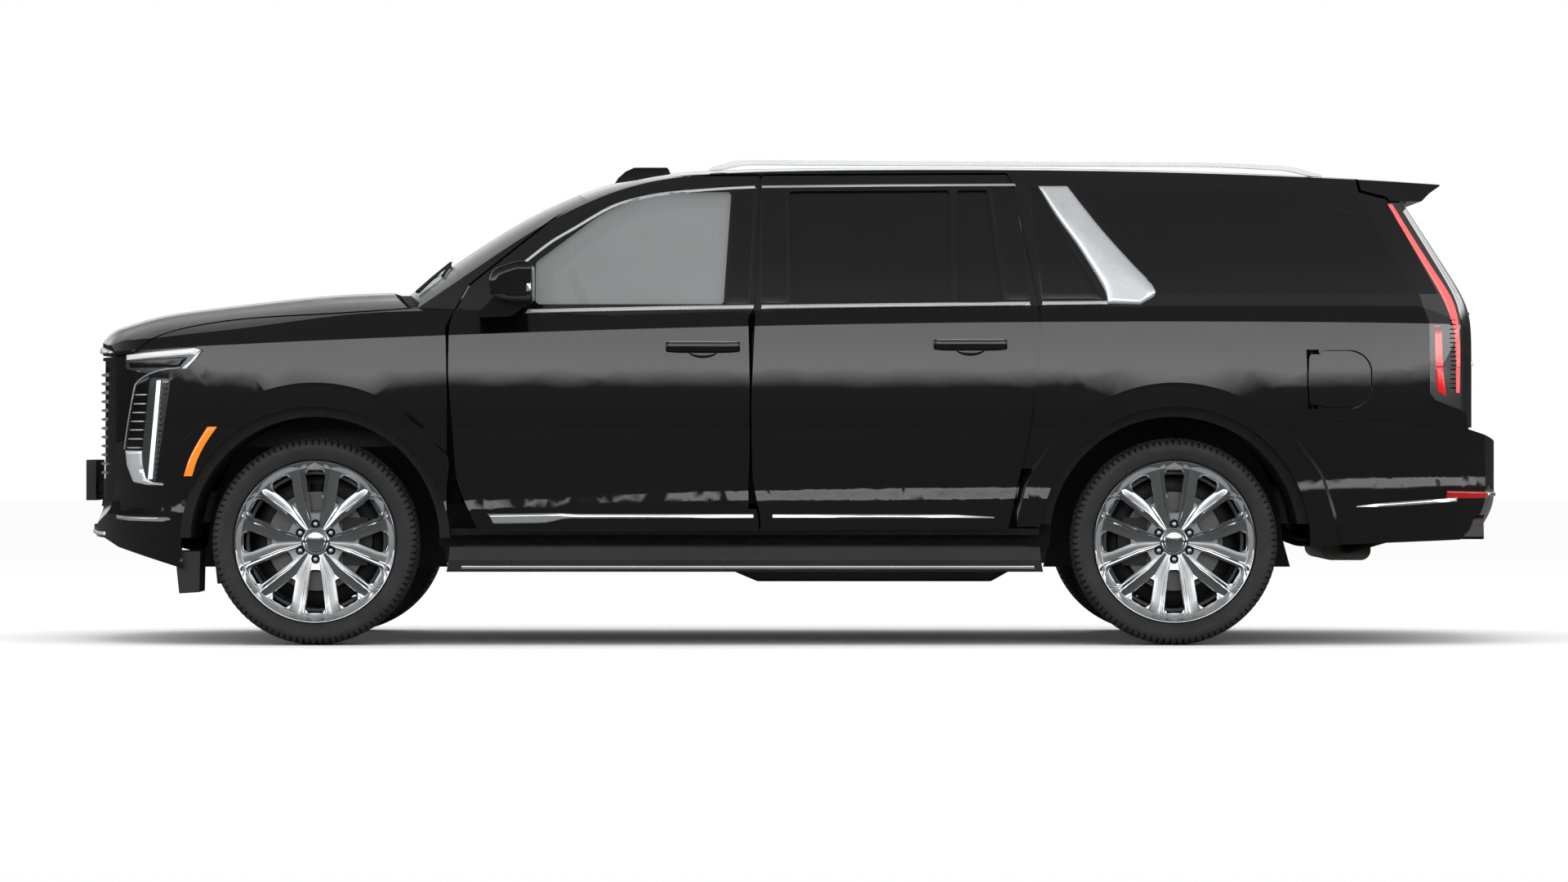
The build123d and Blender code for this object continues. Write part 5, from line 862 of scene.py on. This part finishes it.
hood_front = Skin("hood").front()
across_nose = [-640 + 64 * k for k in range(21)]
patch("hood_bright_cap", [(y, 1197 - 26 * (abs(y) / 640) ** 2.5) for y in across_nose],
    [(y, 1163) for y in across_nose], hood_front, CHROME_SOFT, "hood", proud=9, along=40, crown=0.2, soft=6, lean=5)
grille_place = Skin("grille", "front_bumper").front()
studs = []
for row in range(12):
    z = 682 + 36 * row
    for column in range(-20, 21):
        y = column * 27.0 + (13.5 if row % 2 else 0)
        if abs(y) > 560 - 0.10 * abs(z - 1000):
            continue
        hit = grille_place((y, z))[0]
        if hit is None:
            continue
        x = min(hit.x, -2690)
        tip = x - 16
        verts = [(x + 4, y - 11, z - 1), (x + 4, y, z + 7), (x + 4, y + 11, z - 1), (x + 4, y, z - 9),
                 (tip, y - 6, z - 1), (tip, y, z + 2.5), (tip, y + 6, z - 1), (tip, y, z - 4)]
        faces = [[0, 1, 5, 4], [1, 2, 6, 5], [2, 3, 7, 6], [3, 0, 4, 7], [4, 5, 6, 7], [3, 2, 1, 0]]
        studs.append((verts, faces))
piece("grille_studs", *join(*studs), CHROME, sharp=30)


# ---------------------------------------------------------------- tail: lamps, bumper trim, plate, wiper
TAIL_STRIP_FRONT = [(2391, 1756), (2460, 1632), (2530, 1508), (2592, 1398), (2626, 1318), (2644, 1240), (2650, 1120),
                    (2652, 1000)]
TAIL_STRIP_REAR = [(2410, 1758), (2486, 1630), (2562, 1506), (2634, 1392), (2660, 1316), (2668, 1240), (2670, 1120),
                   (2668, 1000)]


def tail_trim(side, s):
    """Red lamp strip, inner lamp bars, bumper line, reflectors and sensor of one side."""
    lamp = Skin("tail_lamps", "body_sides", "liftgate")
    place = lamp.side(s)
    patch(f"tail_strip_{side}", smooth_line(TAIL_STRIP_FRONT, 3), smooth_line(TAIL_STRIP_REAR, 3), place, LIT_RED,
        along=40, soft=4)
    patch(f"tail_bar_{side}", [(2563, 1246), (2566, 1108)], [(2594, 1246), (2598, 1108)], place, LIT_RED, proud=2.5,
        along=14, soft=3)
    patch(f"tail_bar_low_{side}", [(2566, 1106), (2574, 1010)], [(2598, 1106), (2610, 986)], place, LIT_DEEP, proud=2.5,
        along=10, soft=3)
    patch(f"tail_chip_{side}", [(2562, 1268), (2562, 1262)], [(2584, 1268), (2584, 1262)], place, LIT_RED, proud=2,
        along=4, across=3, soft=2)
    for k in range(16):
        z = 1290 - 18 * k
        path = raised(place, [(x, z) for x in (2630, 2641, 2652)], (0, s * 3.0, 0))
        if len(path) == 3:
            piece(f"tail_fin_{side}_{k}", *sweep(path, rounded(4, 4, 1, 1), (0, 0, 1)), GLOSS)
    bumper = Skin("rear_bumper")
    flank = bumper.side(s)
    patch(f"bumper_line_{side}", [(2244, 552), (2330, 563), (2500, 575), (2660, 586)], [(2244, 546), (2330, 546),
        (2500, 556), (2660, 567)], flank, CHROME, proud=7, crown=0.4, soft=8, lean=2.5)
    rear = bumper.back()
    patch(f"reflector_{side}", [(s * 905, 612), (s * 740, 606)], [(s * 905, 580), (s * 740, 580)], rear, LENS_RED,
        along=16)
    patch(f"bumper_line_rear_{side}", [(s * 730, 604), (s * 330, 600)], [(s * 730, 588), (s * 330, 584)], rear, CHROME,
        proud=6, along=20, across=3, lean=2)
    sensor(f"sensor_rear_{side}", 2572, 642, flank, s)
    loop = [(2700, s * (740 + u), 462 + v) for u, v in ((-88, -38), (-74, 38), (74, 38), (88, -38))]
    ring = []
    for k in range(4):
        a, b = Vector(loop[k]), Vector(loop[(k + 1) % 4])
        ring += [a.lerp(b, t) for t in (0.06, 0.3, 0.7, 0.94)]
    verts, section = [], rounded(60, 7, 3, 2)
    centre = Vector((2700, s * 740, 462))
    for p in ring:
        out = (p - centre).normalized()
        verts += [p + Vector((1, 0, 0)) * (a + 32) + out * b for a, b in section]
    faces = grid_faces(len(ring), len(section), wrap_rows=True, wrap_columns=True)
    piece(f"exhaust_finisher_{side}", verts, faces, CHROME, "body", "exhaust_steel", sharp=40)


for side, s in SIDES:
    tail_trim(side, s)

gate_skin = Skin("liftgate", "liftgate_glass")
gate = gate_skin.back()
patch("gate_bright_bar", [(-330, 1138), (0, 1142), (330, 1138)], [(-330, 1112), (0, 1115), (330, 1112)], gate,
    CHROME_SOFT, "liftgate", proud=7, soft=6, lean=3)
patch("gate_plate", [(-155, 1082), (155, 1082)], [(-155, 938), (155, 938)], gate, PLATE, "liftgate", proud=2.5, sink=2,
    along=16, across=8, crown=0.0, soft=6)
for s in (-1, 1):
    for dz in (-1, 1):
        def local(angle, r, h, y=s * 88, z=1010 + dz * 57):
            return (2778 + h, y + r * cos(angle), z + r * sin(angle))
        piece(f"gate_plate_screw_{'lr'[s > 0]}{'ab'[dz > 0]}", *dome([(7, -2), (7, 4), (5, 6.5), (0, 7)], 16, local),
            CHROME, "liftgate")
patch("gate_lamp_line", [(-600, 1330), (0, 1338), (600, 1330)], [(-600, 1318), (0, 1326), (600, 1318)], gate, GLOSS,
    "liftgate", across=3, soft=4)
wiper = raised(gate, [(0, 1392), (60, 1425), (150, 1460), (250, 1490), (330, 1508)], (14, 0, 0))
piece("gate_wiper_arm", *sweep(wiper, rounded(12, 8, 3, 2), (1, 0, 0), [1.3, 1.1, 1, 0.8, 0.6]), GRAINED, "liftgate")
blade = raised(gate, [(60, 1418), (200, 1470), (330, 1506), (430, 1530)], (7, 0, 0))
piece("gate_wiper_blade", *sweep(blade, rounded(7, 10, 2, 2), (1, 0, 0)), RUBBER, "liftgate")
hub = gate((0, 1392))[0]
piece("gate_wiper_hub",
    *dome([(22, -8), (22, 10), (17, 18), (0, 21)], 28, lambda a, r, h: (hub.x + h, r * cos(a), 1392 + r * sin(a))),
    GRAINED, "liftgate")
spoiler = Skin("rear_spoiler").back()
patch("high_stop_lamp", [(-170, 1820), (170, 1820)], [(-170, 1806), (170, 1806)], spoiler, LENS_RED, "liftgate",
    proud=3, along=20, across=3, soft=3)

# ---------------------------------------------------------------- front: intake, plate, wipers, roof pod, mirrors
nose = Skin("front_bumper", "front_plate_bracket").front()
for k in range(4):
    z = 478 + 18 * k
    path = [(-2800 + 30 * (abs(y) / 480) ** 2.4, y, z) for y in range(-470, 471, 47)]
    piece(f"intake_bar_{k}", *sweep(path, rounded(10, 5, 2, 1), (0, 0, 1)), GLOSS)
patch("chin_bright", [(y, 452 - 8 * (abs(y) / 600) ** 2) for y in range(-600, 601, 60)],
    [(y, 436 - 8 * (abs(y) / 600) ** 2) for y in range(-600, 601, 60)], nose, CHROME_SOFT, proud=6, across=3, soft=6,
    lean=2)
screen = Skin("windshield", "cowl_panel", "hood").top()
for k, (y0, y1) in enumerate(((-560, -20), (120, 640))):
    pivot = screen((-1500, y0))[0] + Vector((0, 0, 14))
    knee = screen((-1440, y0 + 90))[0] + Vector((0, 0, 20))
    tip = screen((-1380, (y0 + y1) / 2))[0] + Vector((0, 0, 22))
    piece(f"wiper_arm_{k}", *sweep([pivot, knee, tip], rounded(16, 9, 3, 2), (0, 0, 1), [1.3, 1.0, 0.7]), GRAINED)
    run = [(-1400 + 14 * sin(t * 3), y0 + (y1 - y0) * t) for t in (0, 0.2, 0.4, 0.6, 0.8, 1.0)]
    rubber = raised(screen, run, (0, 0, 10))
    piece(f"wiper_blade_{k}", *sweep(rubber, rounded(9, 14, 3, 2), (0, 0, 1)), RUBBER)

roof = Skin("roof_panel", "windshield").top()


def roof_pod():
    """The low two-step aerial pod on the roof's front edge."""
    profile = [(-724, 2), (-706, 26), (-676, 46), (-640, 56), (-600, 60), (-562, 60), (-556, 46), (-536, 44),
               (-504, 42), (-497, 26), (-486, 2)]
    rows = []
    for x, lift in profile:
        base = roof((x, 0))[0].z
        half = 46 * min(1.0, 0.35 + lift / 50)
        height = min(base + lift, BOX_LIMIT[2])
        row = [(x, y * half, base - 6 + (height - base + 6) * (1 - abs(y) ** 2.6)) for y in
               (-1, -0.93, -0.8, -0.6, -0.35, 0, 0.35, 0.6, 0.8, 0.93, 1)]
        rows.append(row)
    low = [[(p[0], p[1], min(q[2] for q in row) - 3) for p in row] for row in rows]
    piece("roof_pod", *slab(rows, low), GLOSS, sharp=50)


roof_pod()
for side, s in SIDES:
    body = f"front_door_{side}"
    mirror = Skin(f"mirror_{side}")
    patch(f"mirror_bright_{side}", [(-1092, 1392), (-1060, 1412), (-1030, 1428), (-1014, 1432)], [(-1092, 1380),
        (-1060, 1388), (-1030, 1396), (-1014, 1398)], mirror.side(s), CHROME, body, along=16, soft=4, lean=3)
    rear = mirror.back()
    patch(f"mirror_face_{side}", [(s * 1066, 1500), (s * 1216, 1498)], [(s * 1070, 1372), (s * 1212, 1374)], rear,
        MIRROR_GLASS, body, proud=1.5, sink=2, along=16, across=8, crown=0.3, soft=8)
    patch(f"mirror_lower_{side}", [(-1175, 1388), (-1016, 1382)], [(-1150, 1366), (-1016, 1362)], mirror.side(s),
        GRAINED, body, proud=2, along=14)

# ---------------------------------------------------------------- what closes the wheel arches and the lower edge
for axle, axle_at in AXLES:
    for side, s in SIDES:
        turns = [radians(a) for a in range(0, 181, 12)]
        arc = [(axle_at + 470 * cos(a), WHEEL_Z + 520 * sin(a)) for a in turns]
        edge = [(axle_at + 500, 300)] + arc + [(axle_at - 500, 300)]
        piece(f"arch_wall_{axle}_{side}", *prism(edge, s * 474, s * 482), LINER, sharp=30)
        shield_body = f"knuckle_{side}" if axle == "front" else "body"

        def hub_point(angle, r, h, axle_at=axle_at, s=s):
            return (axle_at + r * cos(angle), s * h, WHEEL_Z + r * sin(angle))

        ring = [(66, 776), (66, 781), (150, 783), (205, 792), (236, 790), (259, 784), (259, 779), (236, 785),
                (205, 787), (150, 778)]
        piece(f"brake_shield_{axle}_{side}", *lathe(ring, 48, hub_point), STEEL, shield_body, sharp=40)
for side, s in SIDES:
    flap = [(-2440, 372), (-2436, 300), (-2426, 203), (-2344, 208), (-2340, 372)]
    piece(f"air_flap_{side}", *prism(flap, s * 700, s * 925), GRAINED, bevel=4, segments=3)
    for k in range(5):
        y = s * (905 + 16 * k)
        piece(f"board_rib_{side}_{k}",
            *sweep([(-1290, y, 392.5), (-200, y, 393.5), (940, y, 392.5)], rounded(8, 4, 1.5, 2), (0, 0, 1)), RUBBER)

# ---------------------------------------------------------------- the fuel door's hinge cover
fuel_skin = Skin("body_sides", "fuel_door").side(-1)
outer, under = [], []
for k in range(23):
    z = 942 + 10 * k
    corner = max(0.0, 952 + 24 - z, z - (1152 - 24)) / 34
    start = 2056 + 26 * (1 - sqrt(max(0.0, 1 - min(1.0, corner) ** 2)))
    a, b = fuel_skin((2030, z))[0], fuel_skin((2112, z))[0]
    row = [(x, a.y + (b.y - a.y) * (x - 2030) / 82, z) for x in (start + (2100 - start) * t / 5 for t in range(6))]
    outer.append([(x, y + 0.4, z) for x, y, z in row])
    under.append([(x, y + 3.0, z) for x, y, z in row])
piece("fuel_hinge_cover", *slab(outer, under), PAINT, "fuel_door")
for side, s in SIDES:
    y0, y1 = sorted((s * 800, s * 806))
    piece(f"sill_plate_{side}", *box(-1400, 1040, y0, y1, 388, 560), LINER, bevel=2)


# ---------------------------------------------------------------- cabin: padded seats, dashboard, door cards
def pad(name, centre, lean, length, width, thick, bolster, channels):
    """A crowned cushion: rounded on every edge, with raised bolsters, a sewn line at each and sewn cross channels."""
    c, a = Vector(centre), Vector((sin(lean), 0, cos(lean)))
    n = Vector((-a.z, 0, a.x))
    us = [-cos(pi * k / 44) for k in range(45)]
    vs = [-cos(pi * k / 40) for k in range(41)]
    top, low = [], []
    for u in us:
        row, under = [], []
        for v in vs:
            rise = ((1 - abs(u) ** 7) * (1 - abs(v) ** 9)) ** 0.34
            crown = 1 + 0.10 * (1 - v * v) * (1 - u * u) - 0.05
            side = abs(v)
            wing = bolster * exp(-((side - 0.82) / 0.13) ** 2)
            seam = 9 * exp(-((side - 0.62) / 0.022) ** 2)
            if side < 0.62:
                seam += sum(6 * exp(-((u - k) / 0.02) ** 2) for k in channels)
            base = c + a * (u * length / 2) + Vector((0, v * width / 2, 0))
            row.append(base + n * ((thick / 2 * crown + wing - seam) * rise))
            under.append(base - n * (thick / 2 * rise))
        top.append(row)
        low.append(under)
    obj = piece(name, *slab(top, low), LEATHER, "body", sharp=70)
    for side in (-1, 1):
        path = []
        for k in range(15):
            u = -0.9 + 1.8 * k / 14
            i = min(range(len(us)), key=lambda q: abs(us[q] - u))
            j = min(range(len(vs)), key=lambda q: abs(vs[q] - side * 0.62))
            path.append(top[i][j] + n * 1.5)
        piece(f"{name}_piping_{'lr'[side > 0]}", *sweep(path, circle(2.6, 8), n), THREAD, sharp=60)
    return obj


def seat(label, node, shift, floor, middle, width, tall=1.0):
    """One seat on the CAD seat's own lines: base, cushion, back and head restraint."""
    def spot(x, z):
        return (x + shift, middle, floor + z * tall)
    objs = [pad(f"{label}_cushion", spot(-530, 425), radians(86), 520, width, 165 * tall, 22, (-0.45, -0.1, 0.25)),
            pad(f"{label}_back", spot(-222, 715), radians(19), 610 * tall, width, 118, 26, (-0.5, -0.17, 0.17, 0.5))]
    heads = (0,) if width < 600 else (-width * 0.31, width * 0.31)
    for k, dy in enumerate(heads):
        head = Vector(spot(-62, 1112)) + Vector((0, dy, 0))
        objs.append(pad(f"{label}_head_{k}", head, radians(8), 135 * tall, 240, 78, 6, (0.0,)))
        for side in (-1, 1):
            foot = Vector(spot(-118, 990)) + Vector((0, dy + side * 55, 0))
            knee, end = foot.lerp(head, 0.5) + Vector((0, side * 28, 0)), head + Vector((0, side * 55, 0))
            piece(f"{label}_post_{k}{'lr'[side > 0]}", *sweep([foot, knee, end], circle(6, 10), (0, 1, 0)), CHROME_SOFT)
    x0, x1 = sorted((shift - 720, shift - 330))
    y = width / 2 - 40
    base = piece(f"{label}_base", *box(x0, x1, middle - y, middle + y, floor + 2, floor + 345 * tall), GRAINED, "body",
                 "inner_plastic", bevel=22, segments=3)
    for obj in objs + [base]:
        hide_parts(node)


for label, middle in (("left", -430), ("right", 430)):
    seat(f"front_seat_{label}", "front_seats", 0, 460, middle, 510)
    seat(f"middle_seat_{label}", "second_row_seats", 960, 460, middle, 510)
seat("rear_seat", "third_row_seat", 2010, 620, 0, 930, 0.84)

dash = Skin("dashboard").back()
patch("dash_screen", [(-620, 1312), (-250, 1318), (120, 1312)], [(-620, 1226), (-250, 1222), (120, 1226)], dash, SCREEN,
    proud=9, along=24, across=6, crown=0.1, soft=8)
patch("dash_band", [(-740, 1180), (740, 1180)], [(-740, 1150), (740, 1150)], dash, CHROME_SOFT, proud=5, along=40,
    across=3, soft=6)
for k, y in enumerate((-690, 180, 300, 690)):
    for row in range(3):
        patch(f"dash_vent_{k}_{row}", [(y - 48, 1214 + 26 * row), (y + 48, 1214 + 26 * row)],
            [(y - 48, 1202 + 26 * row), (y + 48, 1202 + 26 * row)], dash, GLOSS, proud=6, along=8, across=3, soft=3)
c24, s24 = cos(radians(24)), sin(radians(24))


def wheel_plane(angle, r, h):
    """A point of the steering wheel: the angle and radius in its plane, and the height along its axle."""
    y, t = r * cos(angle), r * sin(angle)
    return (-811 + c24 * h - s24 * t, -380 + y, 1322 + s24 * h + c24 * t)


for k, (start, end) in enumerate(((20, 70), (110, 160), (205, 335))):
    path = [wheel_plane(radians(start + (end - start) * t / 12), 169, 0) for t in range(13)]
    piece(f"wheel_stitch_{k}", *sweep(path, circle(16.8, 14), (c24, 0, s24)), LEATHER, "steering_wheel")
for side, s in SIDES:
    for end, span in (("front", (-1130, -300)), ("rear", (20, 640))):
        body = f"{end}_door_{side}"
        card = Skin(body).inner(s)
        x0, x1 = span
        patch(f"{body}_armrest", [(x0, 948), (x1, 930)], [(x0, 892), (x1, 872)], card, LEATHER, body, proud=46,
            along=24, across=6, soft=26)
        patch(f"{body}_card", [(x0 + 10, 1240), (x1, 1240)], [(x0 + 10, 985), (x1, 972)], card, SOFT_TRIM, body,
            proud=9, along=20, across=10, soft=12)
        patch(f"{body}_pocket", [(x0 + 60, 720), (x1 - 40, 720)], [(x0 + 60, 600), (x1 - 40, 600)], card, GRAINED, body,
            proud=14, along=16, across=8, soft=12)
        patch(f"{body}_pull", [(x0 + 90, 1052), (x0 + 230, 1052)], [(x0 + 90, 1032), (x0 + 230, 1032)], card,
            CHROME_SOFT, body, proud=20, along=10)
    y0, y1 = sorted((s * 800, s * 806))
    piece(f"pillar_plate_{side}", *box(-238, -62, y0, y1, 470, 1345), SOFT_TRIM, bevel=2)
motor = Skin("engine_block").top()
patch("engine_cover", [(-2180, -205), (-1300, -205)], [(-2180, 205), (-1300, 205)], motor, GRAINED, proud=26, sink=2,
    along=24, across=14, soft=24)
for k in range(6):
    y = -150 + 60 * k
    path = raised(motor, [(x, y) for x in range(-2120, -1340, 60)], (0, 0, 30))
    if len(path) > 2:
        piece(f"engine_rib_{k}", *sweep(path, rounded(16, 12, 3, 2), (0, 0, 1)), GLOSS)
